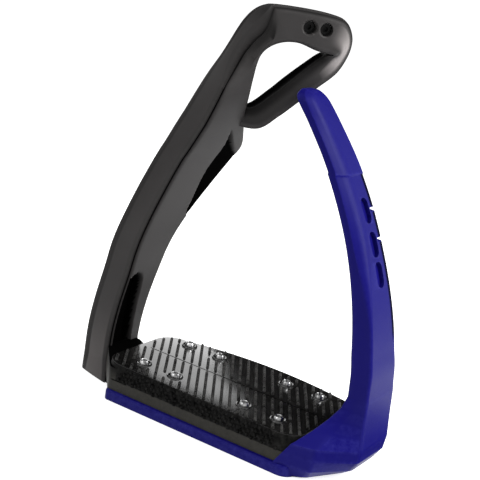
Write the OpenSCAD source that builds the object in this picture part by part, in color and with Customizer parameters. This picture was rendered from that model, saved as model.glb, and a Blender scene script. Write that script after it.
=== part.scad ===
// Safety stirrup iron: a stiff inner arm with a slanted leather eye, a studded tread
// and a flexible outer arm that springs open. +X runs from the inner arm to the outer
// arm, +Y from the straight edge of the tread to its bowed edge, +Z is up from the sole.

/* [Overall] */
// Clear width between the two arms above the tread
inside_w = 120.4; // [112:0.2:130]
// Height of the top of the eye above the sole
eye_top = 181; // [174:0.5:190]
// Sideways place of the middle of the tread
tread_x = -0.5; // [-2:0.25:1]

/* [Base] */
// Length of the tread plate
tread_len = 100; // [97:0.5:103]
// Depth of the tread plate at its deepest
tread_depth = 57; // [52:0.5:62]
// How far the bowed edge falls away towards the ends
back_bow = 8; // [4:0.5:10]
// Corner radius of the tread plate towards the outer arm
corner_r = 6; // [4:0.5:8]
// Corner radius of the tread plate towards the inner arm
end_r = 10; // [7:0.5:12]
// Thickness of the pan under the platform
pan_h = 5; // [4.5:0.25:6.5]
// Thickness of the platform
platform_h = 5; // [4.6:0.2:7]
// Thickness of the tread plate without its ribs
tread_h = 6.2; // [5.8:0.2:8]
// How far the platform stands back from the edge of the tread
platform_set = 0.5; // [0:0.1:1.5]
// Gap between the end of the tread and the flared root of the outer arm
seat_gap = 0.3; // [0.2:0.05:0.6]
// How far the root of the outer arm laps along the straight edge
cheek_len = 10; // [7:0.5:12]
// Thickness of that lap
cheek_t = 2.4; // [2:0.2:3.2]

/* [Tread] */
// Height of the ribs
rib_h = 0.9; // [0.5:0.1:1.5]
// Width of one rib
rib_w = 1.7; // [1.2:0.1:2.2]
// Spacing of the ribs along the tread
rib_pitch = 4.3; // [3.6:0.1:5.5]
// Slant of the ribs
rib_turn = 32; // [0:1:45]
// Bare margin between the ribs and the edge of the plate
rib_margin = 2.4; // [1.5:0.1:4]
// Width of the bare strip along the middle
groove_w = 3; // [2:0.5:6]
// Distance of the inner studs from the middle
stud_x1 = 18; // [14:0.5:24]
// Distance of the outer studs from the middle
stud_x2 = 35; // [32:0.5:38]
// Distance of the stud rows from the middle line
stud_y = 17.3; // [15:0.1:19]
// Radius of the stud shank
stud_r = 2; // [1.5:0.1:2.4]
// Radius of the stud crown
stud_crown_r = 2.7; // [2.5:0.1:3.4]
// Height of the stud crown above the plate
stud_crown_h = 1.9; // [1:0.1:2.5]
// Length of the stud shank in the plate
stud_shank = 4.4; // [3:0.2:5]
// Bare ring around each stud
stud_ring = 2.2; // [1:0.1:3]

/* [Inner arm] */
// Width of the front face at the foot
arm_t = 16; // [14:0.5:17]
// Depth of the arm at the foot
arm_depth = 20.4; // [18:0.4:23]
// How far the arm leans forward below the eye
arm_forward = 12.5; // [10:0.5:14]
// Radius along the edges of the arm
arm_round = 3; // [1.5:0.25:4]
// Height of the hollow in the inner face above the tread
hollow_len = 35; // [28:1:42]
// Depth of that hollow
hollow_depth = 2.4; // [1:0.2:4]
// Width of the pocket below the eye at its wide end
pocket_w = 10; // [6:0.5:11]
// Depth of that pocket
pocket_depth = 2.2; // [1:0.2:3]

/* [Eye] */
// Turn of the eye against the tread
eye_turn = 45; // [40:1:50]
// Sideways place of the middle of the eye
eye_x = -1.4; // [-3:0.2:1]
// Distance of the far end of the eye from its middle
eye_half = 26; // [24:0.5:28]
// Depth of the lower bar's foot below the top of the eye
eye_low = 52; // [48:0.5:56]
// How far the front of the top bar stands before the middle of the eye
eye_out = 8.1; // [7.6:0.1:9]
// Radius along the edges of the eye
eye_round = 2.6; // [1:0.2:3]
// Distance of the first eye screw from the middle of the eye
eye_screw_x1 = 7; // [5:0.5:9]
// Distance of the second eye screw from the middle of the eye
eye_screw_x2 = 14; // [13:0.5:16]
// Depth of the eye screws below the top of the eye
eye_screw_drop = 7.4; // [6.6:0.2:8]
// Length of the steel bar inside the eye
core_len = 19; // [17:0.5:20]
// Height of that bar
core_h = 6.5; // [5:0.5:7]
// Thickness of that bar
core_t = 4.2; // [3.4:0.2:4.6]
// Depth of that bar behind the front of the eye
core_drop = 5.5; // [5:0.1:5.8]
// Radius of the sunk hole of an eye screw
eye_hole_r = 2.7; // [2.4:0.1:3]
// Radius of an eye screw's head
eye_head_r = 2.4; // [2:0.1:2.6]
// Radius of an eye screw's shank
eye_shank_r = 1.5; // [1.2:0.1:1.8]

/* [Outer arm] */
// Thickness of the outer arm at its root
outer_t = 8.8; // [8:0.2:9.6]
// Depth of the outer arm at its root
outer_depth = 24; // [22:0.5:26]
// Height of the line the outer arm bends about
flex_z = 36; // [34:0.5:40]
// Sideways place of the outer arm's tip
tip_x = 15.6; // [14:0.2:20]
// How far the tip ends below the top of the eye
tip_drop = 31; // [30:0.5:36]
// Gap between the outer arm and its root
flex_gap = 0.35; // [0.2:0.05:0.5]
// Depth of the recesses on the outer face
recess_depth = 1; // [0.5:0.1:1.4]
// Length of one recess
recess_len = 10; // [8:0.5:12]
// Width of one recess
recess_w = 3.2; // [2.4:0.2:4]

/* [Spring] */
// Thickness of the spring blade
blade_t = 1.2; // [0.8:0.1:1.6]
// Width of the spring blade
blade_w = 11; // [9:0.5:12]
// Bend radius of the spring blade
blade_bend = 9; // [8:0.5:10]
// How far the blade reaches up the arm above the bend line
blade_reach = 74; // [50:1:84]
// How far the blade reaches in from the end of the tread
blade_hold = 27.5; // [26:0.5:31]
// Play around the blade
blade_gap = 0.3; // [0.15:0.05:0.4]
// Thickness of the clamp plate
clamp_t = 2; // [1.5:0.1:2.4]
// Width of the clamp plate
clamp_w = 17; // [15:0.5:19]
// Length of the clamp plate
clamp_len = 25; // [22:0.5:28]

/* [Fasteners] */
// Radius of the screw shanks in the base
screw_r = 2; // [1.6:0.1:2.2]
// Radius of the screw heads in the base
head_r = 3.7; // [3.2:0.1:4]
// Height of the screw heads in the base
head_h = 2.2; // [1.8:0.1:2.4]
// Outer radius of the threaded inserts
insert_r = 3; // [2.6:0.1:3.4]
// Length of the threaded inserts over the clamp
insert_h = 3.2; // [2.6:0.1:3.2]
// Length of the threaded inserts in the tread
sole_insert_h = 4; // [3:0.2:5]
// Play between a fastener and its hole
hole_gap = 0.04; // [0.02:0.01:0.1]
// Play between a screw and a plain hole
through_gap = 0.25; // [0.15:0.05:0.4]
// Distance of the sole screws from the middle line
sole_screw_y = 9; // [7:0.5:11]
// Distance of the sole screws from the middle of the tread
sole_screw_x = 27; // [25:0.5:28]

/* [Hidden] */
$fn = 48;
eps = 0.02;

platform_z = pan_h;
tread_z = pan_h + platform_h;
tread_top = tread_z + tread_h;
arm_in = -inside_w / 2;
outer_in = inside_w / 2;
outer_out = outer_in + outer_t;
flex_x = outer_in + outer_t / 2;
tip_z = eye_top - tip_drop;
bow_x = tread_x + 7;
plate_l = tread_x - tread_len / 2;
plate_r = tread_x + tread_len / 2;
front_y = -tread_depth / 2;
stud_places = [for (x = [-stud_x2, -stud_x1, stud_x1, stud_x2], y = [-stud_y, stud_y]) [tread_x + x, y]];
sole_places = [for (x = [-sole_screw_x, sole_screw_x / 4], y = [-sole_screw_y, sole_screw_y])
               [tread_x + x, y]];
blade_start = plate_r - blade_hold;
clamp_start = blade_start + 1.5;
clamp_places = [for (x = [0.25, 0.75]) [clamp_start + clamp_len * x, 0]];
clamp_z = platform_z - clamp_t;
blade_z = platform_z + blade_t / 2;

// Inner arm from foot to crown: height and lean in percent, forward lean, front width and
// depth as shares of the foot's own, and turn in degrees
arm_rows = [
    [0, 0, 0, 1, 1, 0],
    [11, 0, 0, 1, 1, 0],
    [19, 3, 0, 0.99, 1, 0],
    [28, 9.5, 0.06, 0.98, 1.03, 0],
    [36, 15.5, 0.15, 0.98, 1.1, 1],
    [44, 25, 0.3, 0.955, 1.19, 3],
    [52.5, 37, 0.46, 0.94, 1.31, 6],
    [61, 50.5, 0.66, 0.94, 1.42, 9],
    [64.5, 57.5, 0.77, 0.955, 1.44, 10],
    [69, 65.5, 0.86, 0.99, 1.26, 11.5],
    [73, 72.6, 0.94, 1.02, 0.98, 12.2],
    [78, 81, 1, 1.06, 0.76, 13],
    [83, 84.5, 0.83, 1.04, 0.56, 18],
    [88, 88, 0.66, 1.04, 0.44, 25],
    [93.5, 95, 0.32, 1.15, 0.42, 27],
    [96.7, 99, 0.15, 1.12, 0.42, 27],
    [99, 100, 0.1, 0.82, 0.44, 27]];
// Bar of the eye from the crown round to the back of the arm: step, outer edge along the eye and
// below the top, inner edge the same way, back and front of the bar, all in percent
eye_rows = [
    [0, -56, 11, -52, 29, -31, 76],
    [1, -37, 2, -27, 29, -37, 100],
    [2, 15, 1, 12, 25, -37, 100],
    [3, 62, 3, 46, 28, -37, 100],
    [4, 87, 7, 63, 29, -37, 100],
    [5, 99, 18, 72, 31, -37, 99],
    [6, 99, 32, 72, 33, -43, 80],
    [7, 88, 44, 61, 36, -62, 62],
    [8, 62, 57, 37, 47, -86, 49],
    [9, 34, 70, 13, 59, -99, 49],
    [10, 8, 84, -7, 73, -125, 20],
    [11, -16, 99, -32, 88, -185, -48],
    [12, -56, 101, -56, 89, -235, -125]];
// Outer arm from bend line to tip: height and lean in percent, thickness and depth as shares
outer_rows = [
    [0, 0, 1, 1],
    [12.5, 4.2, 0.95, 0.91],
    [25.5, 10.3, 0.9, 0.855],
    [38.5, 19.4, 0.85, 0.82],
    [52, 31.6, 0.81, 0.79],
    [65, 45.5, 0.81, 0.765],
    [78, 62.4, 0.85, 0.71],
    [89.5, 81, 0.9, 0.64],
    [97.5, 95.5, 0.92, 0.57],
    [100, 100, 0.7, 0.46]];
// Flared root: height as a share, 0 at the sole, 1 at the tread and 2 at the bend line; inner edge
// and shoulder as shares of the way from tread to arm, their depths as shares of the way from arm to
// tread, inset of the outer edge as a share of the arm's thickness and its depth as one of the arm's
root_rows = [
    [0, -0.5, 0.94, 0.177, 0.594, 0.773, 0.333],
    [0.25, -0.5, 0.955, 0.323, 0.77, 0.09, 0.73],
    [0.6, -0.5, 0.984, 0.396, 0.836, -0.227, 0.967],
    [0.815, -0.3, 0.98, 0.396, 0.776, -0.227, 1],
    [1, 0, 0.825, 0.385, 0.606, -0.205, 1],
    [1.19, 0.2, 0.645, 0.448, 0.376, -0.159, 1],
    [1.5, 0.635, 0.267, 0.583, 0.121, -0.102, 1],
    [1.8, 0.933, 0.048, 0.708, 0.024, -0.023, 1],
    [2, 1, 0, 0.771, 0, 0, 1]];
// Flared foot of the inner arm: height as a share, inner edge as a share of the way from arm to
// tread and half depth as a share of the tread's
foot_rows = [
    [0, 1, 0.34],
    [1, 1, 0.34],
    [1.06, 0.4, 0.33],
    [1.12, 0.12, 0.32],
    [1.2, 0, 0.31]];
// Hollow in the inner face of the inner arm: height as a share of its own, front and back edge as
// shares of the arm's depth
hollow_rows = [
    [-0.1, 0.06, 0.66],
    [0.25, 0.1, 0.68],
    [0.75, 0.19, 0.57],
    [0.93, 0.26, 0.5],
    [1, 0.34, 0.42]];
// Pocket below the eye, at the back edge of the inner arm: height in percent, width as a share
pocket_rows = [
    [46, 0.08],
    [50, 0.36],
    [58, 0.78],
    [66, 1],
    [69.5, 1]];

// Smooth curve through rows of a table, read at key k in column c
function slope(t, i, c) =
    let (a = max(i - 1, 0), b = min(i + 1, len(t) - 1)) (t[b][c] - t[a][c]) / (t[b][0] - t[a][0]);
function row_of(t, k, i = 0) = (i >= len(t) - 2 || k < t[i + 1][0]) ? i : row_of(t, k, i + 1);
function curve(t, k, c) =
    let (i = row_of(t, k), h = t[i + 1][0] - t[i][0], u = (k - t[i][0]) / h)
    (2 * u^3 - 3 * u^2 + 1) * t[i][c] + (u^3 - 2 * u^2 + u) * h * slope(t, i, c)
    + (3 * u^2 - 2 * u^3) * t[i + 1][c] + (u^3 - u^2) * h * slope(t, i + 1, c);
// Points of an arc of an ellipse
function arc(cx, cy, rx, ry, a0, a1, n) =
    [for (i = [0:n]) let (a = a0 + (a1 - a0) * i / n) [cx + rx * cos(a), cy + ry * sin(a)]];
// Rectangle from the origin with round corners
function round_rect(w, d, r, n = 3) =
    let (q = min(r, w / 2 - 0.1, d / 2 - 0.1))
    concat(arc(q, q, q, q, 180, 270, n), arc(w - q, q, q, q, 270, 360, n),
           arc(w - q, d - q, q, q, 0, 90, n), arc(q, d - q, q, q, 90, 180, n));

// Solid through a row of closed rings of points
module loft(rings) {
    m = len(rings[0]);
    k = len(rings);
    pts = [for (r = rings) each r];
    sides = [for (i = [0:k - 2], j = [0:m - 1]) let (a = i * m + j, b = i * m + (j + 1) % m)
             each [[a, a + m, b], [b, a + m, b + m]]];
    ends = [[for (j = [0:m - 1]) j], [for (j = [m - 1:-1:0]) (k - 1) * m + j]];
    polyhedron(pts, concat(sides, ends), convexity = 8);
}

// Bowed edge of the tread, e inside its outline
function back_y(x, e) = tread_depth / 2 - e - back_bow * pow((x - bow_x) / (tread_len / 2), 2);
// Outline of the tread, e inside its edge
function plate_outline(e) =
    let (xl = plate_l + e, xr = plate_r - e, yf = front_y + e, q = corner_r, p = end_r, n = 14)
    concat(arc(xl + p, yf + p, p, p, 180, 270, 6), arc(xr - q, yf + q, q, q, 270, 360, 6),
           arc(xr - q, back_y(xr - q, e) - q, q, q, 0, 90, 6),
           [for (i = [1:n - 1]) let (x = xr - q - (xr - xl - q - p) * i / n) [x, back_y(x, e)]],
           arc(xl + p, back_y(xl + p, e) - p, p, p, 90, 180, 6));
module plate(e, z0, z1) { translate([0, 0, z0]) linear_extrude(z1 - z0) polygon(plate_outline(e)); }

// Inner arm: crease, front face direction and size at a height in percent
function arm_turn(h) = curve(arm_rows, h, 5);
function arm_crease(h) =
    [arm_in + curve(arm_rows, h, 1) / 100 * (inside_w / 2 + eye_x),
     -arm_depth / 2 - curve(arm_rows, h, 2) * arm_forward, h / 100 * eye_top];
function arm_wide(h) = curve(arm_rows, h, 3) * arm_t;
function arm_deep(h) = curve(arm_rows, h, 4) * arm_depth;
// Point on the section of the arm: in from its outer face, back from its front face
function arm_point(h, q) =
    let (a = arm_turn(h), w = arm_wide(h)) arm_crease(h)
    + (q[0] - w) * [cos(a), -sin(a), 0] + q[1] * [sin(a), cos(a), 0];
function arm_ring(h) = [for (q = round_rect(arm_wide(h), arm_deep(h), arm_round)) arm_point(h, q)];
function hollow_ring(k) =
    let (h = (tread_top + k * hollow_len) / eye_top * 100, w = arm_wide(h), d = arm_deep(h),
         a = curve(hollow_rows, k, 1) * d, b = curve(hollow_rows, k, 2) * d, t = w - hollow_depth)
    [for (q = [[t, a + 0.3], [w + 2, a], [w + 2, b], [t, b - 0.3]]) arm_point(h, q)];
function pocket_ring(h) =
    let (w = arm_wide(h), d = arm_deep(h), a = d - curve(pocket_rows, h, 1) * pocket_w)
    [for (q = [[w - pocket_depth, a], [w + 2, a], [w + 2, d + 1], [w - pocket_depth / 3, d + 1]])
        arm_point(h, q)];
arm_steps = concat([for (h = [0:4:92]) h], [94, 96, 97.5, 99]);

// Frame of the eye: along the eye, up, and out of its front face
module eye_frame() { translate([eye_x, 0, eye_top]) rotate([0, 0, eye_turn]) children(); }
function eye_point(s, drop, out) =
    [eye_x + s * cos(eye_turn) + out * sin(eye_turn),
     s * sin(eye_turn) - out * cos(eye_turn), eye_top - drop];
function eye_ring(k) =
    let (so = curve(eye_rows, k, 1) / 100 * eye_half, zo = curve(eye_rows, k, 2) / 100 * eye_low,
         si = curve(eye_rows, k, 3) / 100 * eye_half, zi = curve(eye_rows, k, 4) / 100 * eye_low,
         b = curve(eye_rows, k, 5) / 100 * eye_out, f = curve(eye_rows, k, 6) / 100 * eye_out,
         w = norm([so - si, zo - zi]))
    [for (q = round_rect(w, f - b, eye_round))
        eye_point(si + (so - si) * q[0] / w, zi + (zo - zi) * q[0] / w, b + q[1])];
eye_screw_places = [eye_screw_x1, eye_screw_x2];
core_mid = (eye_screw_x1 + eye_screw_x2) / 2;
core_front = eye_out - core_drop;

// Outer arm: outer face, thickness and depth at a height in percent
function outer_z(h) = flex_z + h / 100 * (tip_z - flex_z);
function outer_face(h) = outer_out - curve(outer_rows, h, 1) / 100 * (outer_out - tip_x);
function outer_thick(h) = curve(outer_rows, h, 2) * outer_t;
function outer_deep(h) = curve(outer_rows, h, 3) * outer_depth;
function outer_mid(h) = outer_face(h) - outer_thick(h) / 2;
function outer_ring(h) =
    let (t = outer_thick(h), d = outer_deep(h))
    [for (q = round_rect(t, d, t * 0.3)) [outer_face(h) - t + q[0], q[1] - d / 2, outer_z(h)]];

outer_steps = concat([for (h = [0:6:84]) h], [89.5, 94, 97.5, 99, 100]);

// Flared root of the outer arm at share k
function share_z(k) = k < 1 ? k * tread_top : tread_top + (k - 1) * (flex_z - tread_top);
root_back = (back_y(plate_r, 0) - outer_depth / 2) / (tread_depth / 2 - outer_depth / 2);
function root_side(k, e) =
    let (x0 = plate_r + seat_gap, w = outer_out - x0, a = outer_depth / 2, d = e * (tread_depth / 2 - a))
    [[x0 + curve(root_rows, k, 1) * (outer_in - x0), a + curve(root_rows, k, 2) * d],
     [x0 + curve(root_rows, k, 3) * w, a + curve(root_rows, k, 4) * d],
     [outer_out - curve(root_rows, k, 5) * outer_t, a * curve(root_rows, k, 6)],
     [outer_out - curve(root_rows, k, 5) * outer_t, 0]];
// Corner b between a and c, eased over r
function ease_corner(a, b, c, r, n = 3) =
    let (p = b + (a - b) * min(r / norm(a - b), 0.45), q = b + (c - b) * min(r / norm(c - b), 0.45))
    [for (i = [0:n]) let (u = i / n) (1 - u)^2 * p + 2 * u * (1 - u) * b + u^2 * q];
function root_half(k, e) =
    let (s = root_side(k, e))
    concat([s[0]], ease_corner(s[0], s[1], s[2], 3), ease_corner(s[1], s[2], s[3], outer_t * 0.3));
function root_ring(k) =
    let (f = root_half(k, 1), b = root_half(k, root_back), n = len(f))
    concat([for (p = f) [p[0], -p[1], share_z(k)]], [for (i = [n - 1:-1:0]) [b[i][0], b[i][1], share_z(k)]]);

root_steps = [0, 0.12, 0.25, 0.42, 0.6, 0.72, 0.815, 0.9, 1, 1.1, 1.19, 1.34, 1.5, 1.65, 1.8, 2];

// Flared foot of the inner arm at share k
function foot_ring(k) =
    let (xi = arm_in + curve(foot_rows, k, 1) * (plate_l - seat_gap - arm_in),
         d = curve(foot_rows, k, 2) * tread_depth / 2, a = arm_depth / 2 - 1, xa = arm_in - arm_t / 2)
    [for (p = [[xa, -a], [arm_in, -d], [xi, -d * 0.9], [xi, d * 0.9], [arm_in, d], [xa, a]])
        [p[0], p[1], k < 1 ? platform_z + k * (tread_top - platform_z) : share_z(k)]];

// Middle line of the spring blade, from the clamp up into the outer arm
blade_low = outer_mid(0) - blade_bend;
blade_line = concat(
    [[blade_start, blade_z]], arc(blade_low, blade_z + blade_bend, blade_bend, blade_bend, -90, 0, 8),
    [for (h = [0:6:100]) if (outer_z(h) < flex_z + blade_reach) [outer_mid(h), outer_z(h)]]);
function line_normal(p, i) =
    let (a = p[max(i - 1, 0)], b = p[min(i + 1, len(p) - 1)], d = (b - a) / norm(b - a)) [-d[1], d[0]];
module blade_solid(gap) {
    t = blade_t / 2 + gap;
    w = blade_w + 2 * gap;
    n = len(blade_line);
    left = [for (i = [0:n - 1]) blade_line[i] + t * line_normal(blade_line, i)];
    right = [for (i = [n - 1:-1:0]) blade_line[i] - t * line_normal(blade_line, i)];
    tip = gap > 0 ? [blade_line[n - 1] + [0, gap]] : [];
    translate([0, w / 2, 0]) rotate([90, 0, 0]) linear_extrude(w) polygon(concat(left, tip, right));
}

// Lap of the outer arm's root along the straight edge of the tread
module cheek(gap) {
    translate([0, front_y + cheek_t + gap, 0]) rotate([90, 0, 0]) linear_extrude(cheek_t + gap + 5)
        polygon([[plate_r - cheek_len - 1.4 * gap, platform_z - eps], [plate_r + 9, platform_z - eps],
                 [plate_r + 9, tread_top + 2], [plate_r - 1.4 * gap, tread_top]]);
}

module drill(places, r, z0, z1) {
    for (p = places) translate([p[0], p[1], z0]) cylinder(r = r, h = z1 - z0);
}

module platform() {
    plate(platform_set, platform_z, tread_z);
    x = plate_l + end_r;
    xa = arm_in - arm_t / 3;
    translate([0, 0, platform_z]) linear_extrude(platform_h)
        polygon([[x, front_y + platform_set], [x, back_y(x, platform_set)],
                 [xa, arm_depth / 2 - 1], [xa, 1 - arm_depth / 2]]);
}

// Bar inside the top of the eye, in the frame of the eye
module core_bar(gap) {
    translate([core_mid - core_len / 2 - gap, -core_front - gap, -eye_screw_drop - core_h / 2 - gap])
        cube([core_len + 2 * gap, core_t + 2 * gap, core_h + 2 * gap]);
}

module arm_frame() {
    color([0.13, 0.125, 0.12]) difference() {
        union() {
            loft([for (h = arm_steps) arm_ring(h)]);
            loft([for (k = [0:0.25:12]) eye_ring(k)]);
            loft([for (k = [0, 1, 1.02, 1.04, 1.07, 1.1, 1.15, 1.2]) foot_ring(k)]);
            platform();
        }
        plate(-seat_gap, tread_z, tread_top + 4);
        cheek(seat_gap);
        loft([for (k = [-0.1:0.15:0.8]) hollow_ring(k)]);
        loft([for (k = [0.78, 0.85, 0.9, 0.94, 0.97, 1]) hollow_ring(k)]);
        loft([for (h = [46, 48, 50, 54, 58, 62, 66, 69.5]) pocket_ring(h)]);
        drill(sole_places, screw_r + through_gap, platform_z - 1, tread_z + 1);
        drill(clamp_places, insert_r + hole_gap, platform_z - 1, platform_z + blade_t + insert_h);
        translate([blade_start - blade_gap, -blade_w / 2 - blade_gap, platform_z - 1])
            cube([plate_r - blade_start + 1, blade_w + 2 * blade_gap, blade_t + blade_gap + 1]);
        eye_frame() {
            for (s = eye_screw_places) translate([s, -core_front, -eye_screw_drop]) rotate([90, 0, 0]) {
                cylinder(r = eye_hole_r, h = eye_out + 1);
            }
            core_bar(hole_gap);
        }
    }
}

module rib_rows() {
    n = ceil(tread_len / rib_pitch);
    intersection() {
        plate(rib_margin, tread_top - eps, tread_top + rib_h);
        for (i = [-n / 2 - 5:n / 2 + 5])
            translate([tread_x + i * rib_pitch, 0, tread_top - eps]) rotate([0, 0, rib_turn])
                translate([-rib_w / 2, -tread_depth * 0.7, 0]) cube([rib_w, tread_depth * 1.4, rib_h + 1]);
    }
}

module tread_plate() {
    color([0.11, 0.11, 0.11]) difference() {
        union() {
            plate(0, tread_z, tread_top);
            difference() {
                rib_rows();
                translate([plate_l, -groove_w / 2, tread_top]) cube([tread_len, groove_w, rib_h + 1]);
                drill(stud_places, stud_crown_r + stud_ring, tread_top, tread_top + rib_h + 1);
            }
        }
        cheek(seat_gap);
        drill(stud_places, stud_r + hole_gap, tread_top - stud_shank - hole_gap, tread_top + 1);
        drill(sole_places, insert_r + hole_gap, tread_z - 1, tread_z + sole_insert_h + hole_gap);
    }
}

module stud() {
    rotate_extrude() polygon([
        [0, -stud_shank], [stud_r, -stud_shank], [stud_r, 0], [stud_crown_r, 0],
        [stud_crown_r, stud_crown_h * 0.4], [stud_crown_r * 0.75, stud_crown_h],
        [stud_crown_r * 0.5, stud_crown_h], [0, stud_crown_h * 0.35]]);
}
module tread_studs() {
    color([0.85, 0.85, 0.86]) for (p = stud_places) translate([p[0], p[1], tread_top]) stud();
}

module sole_pan() {
    color([0.09, 0.08, 0.42]) difference() {
        union() {
            plate(0, 0, pan_h);
            difference() {
                loft([for (k = root_steps) root_ring(k)]);
                plate(-seat_gap, platform_z, tread_top + 1);
            }
            intersection() {
                cheek(0);
                plate(-seat_gap - eps, 0, tread_top);
            }
        }
        translate([flex_x, tread_depth, flex_z]) rotate([90, 0, 0])
            cylinder(r = outer_t / 2 + flex_gap, h = 2 * tread_depth);
        for (side = [[0, 0.31], [-outer_t, 0.2]])
            translate([flex_x + side[0], -tread_depth, flex_z - outer_t * side[1]])
                cube([outer_t, 2 * tread_depth, outer_t]);
        blade_solid(blade_gap);
        translate([clamp_start - blade_gap, -clamp_w / 2 - blade_gap, clamp_z])
            cube([clamp_len + 2 * blade_gap, clamp_w + 2 * blade_gap, clamp_t + 1]);
        drill(clamp_places, head_r + through_gap, -1, clamp_z + 1);
        drill(sole_places, screw_r + through_gap, -1, pan_h + 1);
        for (p = sole_places) translate([p[0], p[1], -eps])
            cylinder(r1 = head_r + through_gap, r2 = screw_r + through_gap, h = head_h + eps);
    }
}

module outer_arm() {
    color([0.1, 0.09, 0.5]) difference() {
        union() {
            loft([for (h = outer_steps) outer_ring(h)]);
            translate([flex_x, outer_depth / 2 - outer_t * 0.3, flex_z]) rotate([90, 0, 0])
                cylinder(r = outer_t / 2 - eps, h = outer_depth - outer_t * 0.6);
        }
        blade_solid(blade_gap);
        for (h = [44, 53.5, 63]) arm_recess(h);
    }
}

// One oblong recess across the outer face of the outer arm
module arm_recess(h) {
    lean = atan2(outer_face(h - 4) - outer_face(h + 4), outer_z(h + 4) - outer_z(h - 4));
    translate([outer_face(h), 0, outer_z(h)]) rotate([0, -lean, 0]) translate([-recess_depth, 0, 0])
        rotate([0, 90, 0]) linear_extrude(outer_t) union() {
            for (x = [-1, 1]) translate([x * (recess_len - recess_w) / 2, 0]) circle(d = recess_w);
            square([recess_len - recess_w, recess_w], center = true);
        }
}

module spring_blade() {
    color([0.6, 0.62, 0.66]) difference() {
        blade_solid(0);
        drill(clamp_places, screw_r + through_gap, platform_z - 1, platform_z + blade_t + 1);
    }
}

module blade_clamp() {
    color([0.55, 0.57, 0.6]) difference() {
        translate([clamp_start, -clamp_w / 2, clamp_z]) cube([clamp_len, clamp_w, clamp_t]);
        drill(clamp_places, screw_r + through_gap, clamp_z - 1, platform_z + 1);
    }
}

module clamp_screws() {
    color([0.7, 0.7, 0.72]) for (p = clamp_places) translate([p[0], p[1], clamp_z]) {
        cylinder(r = screw_r, h = clamp_t + blade_t + insert_h - 0.4);
        difference() {
            translate([0, 0, -head_h]) cylinder(r = head_r, h = head_h);
            translate([0, 0, -head_h - eps]) cylinder(r = head_r / 2, h = head_h * 0.6, $fn = 6);
        }
    }
}

module insert(h) {
    difference() {
        cylinder(r = insert_r, h = h);
        translate([0, 0, -1]) cylinder(r = screw_r + hole_gap, h = h + 2);
    }
}
module clamp_inserts() {
    color([0.75, 0.6, 0.25]) for (p = clamp_places)
        translate([p[0], p[1], platform_z + blade_t]) insert(insert_h);
}
module sole_inserts() {
    color([0.75, 0.6, 0.25]) for (p = sole_places) translate([p[0], p[1], tread_z]) insert(sole_insert_h);
}

module sole_screws() {
    color([0.7, 0.7, 0.72]) for (p = sole_places) translate([p[0], p[1], 0]) difference() {
        union() {
            cylinder(r1 = head_r, r2 = screw_r, h = head_h - through_gap);
            cylinder(r = screw_r, h = tread_z + sole_insert_h - 0.4);
        }
        translate([0, 0, -eps]) cylinder(r = screw_r * 0.8, h = head_h * 0.6, $fn = 6);
    }
}

module eye_core() {
    color([0.55, 0.57, 0.6]) eye_frame() difference() {
        core_bar(0);
        for (s = eye_screw_places) translate([s, -core_front - 1, -eye_screw_drop]) rotate([-90, 0, 0])
            cylinder(r = eye_shank_r + hole_gap, h = core_t + 2);
    }
}

module eye_screws() {
    color([0.2, 0.2, 0.21]) eye_frame()
        for (s = eye_screw_places) translate([s, -core_front, -eye_screw_drop]) {
            rotate([-90, 0, 0]) cylinder(r = eye_shank_r, h = core_t - 0.4);
            difference() {
                rotate([90, 0, 0]) cylinder(r = eye_head_r, h = eye_head_r);
                translate([0, -eye_head_r * 0.4, 0]) rotate([90, 0, 0])
                    cylinder(r = eye_head_r / 2, h = eye_head_r, $fn = 6);
            }
        }
}

arm_frame();
tread_plate();
tread_studs();
sole_pan();
outer_arm();
spring_blade();
blade_clamp();
clamp_screws();
clamp_inserts();
sole_screws();
sole_inserts();
eye_core();
eye_screws();
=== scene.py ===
import bpy
import bmesh
from math import sin, cos, pi, radians, hypot
from mathutils import Vector, Matrix


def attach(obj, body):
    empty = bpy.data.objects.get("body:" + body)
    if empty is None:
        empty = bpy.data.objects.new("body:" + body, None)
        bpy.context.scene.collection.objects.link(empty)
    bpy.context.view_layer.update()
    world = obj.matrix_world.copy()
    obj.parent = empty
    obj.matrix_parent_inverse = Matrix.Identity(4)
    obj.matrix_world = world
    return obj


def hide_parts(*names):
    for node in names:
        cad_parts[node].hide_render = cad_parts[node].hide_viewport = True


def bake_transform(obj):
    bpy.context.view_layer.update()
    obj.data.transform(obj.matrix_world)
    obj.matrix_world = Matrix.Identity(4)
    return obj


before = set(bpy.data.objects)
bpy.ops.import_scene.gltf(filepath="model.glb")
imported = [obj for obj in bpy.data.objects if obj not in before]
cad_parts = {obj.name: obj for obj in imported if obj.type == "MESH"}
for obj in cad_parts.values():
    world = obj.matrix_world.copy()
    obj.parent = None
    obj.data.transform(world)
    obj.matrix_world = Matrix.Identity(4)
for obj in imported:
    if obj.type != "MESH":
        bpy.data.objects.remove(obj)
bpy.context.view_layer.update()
print("frame loaded:", len(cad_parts), "nodes")

mm = 0.001
hair = 0.02  # gap or overlap of pieces that lie on each other, mm
making = {"weld": 0.002, "carveWeld": 0.004, "roundShare": 0.48, "fullEdgeTurn": 0.9, "paintedShadeLimit": 0.8}


# shared shape helpers, all in millimetres until a piece is finished

def bend(p, leave, q, arrive, u):
    # smooth run from p to q that leaves and arrives with the given pulls
    return ((2 * u**3 - 3 * u**2 + 1) * p + (u**3 - 2 * u**2 + u) * leave
            + (3 * u**2 - 2 * u**3) * q + (u**3 - u**2) * arrive)


def readRows(rows, key, col):
    # smooth curve through the rows of a table
    last = len(rows) - 1
    i = 0
    while i < last - 1 and key >= rows[i + 1][0]:
        i += 1

    def slope(n):
        a, b = max(n - 1, 0), min(n + 1, last)
        return (rows[b][col] - rows[a][col]) / (rows[b][0] - rows[a][0])

    h = rows[i + 1][0] - rows[i][0]
    u = (key - rows[i][0]) / h
    return bend(rows[i][col], h * slope(i), rows[i + 1][col], h * slope(i + 1), u)


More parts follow.
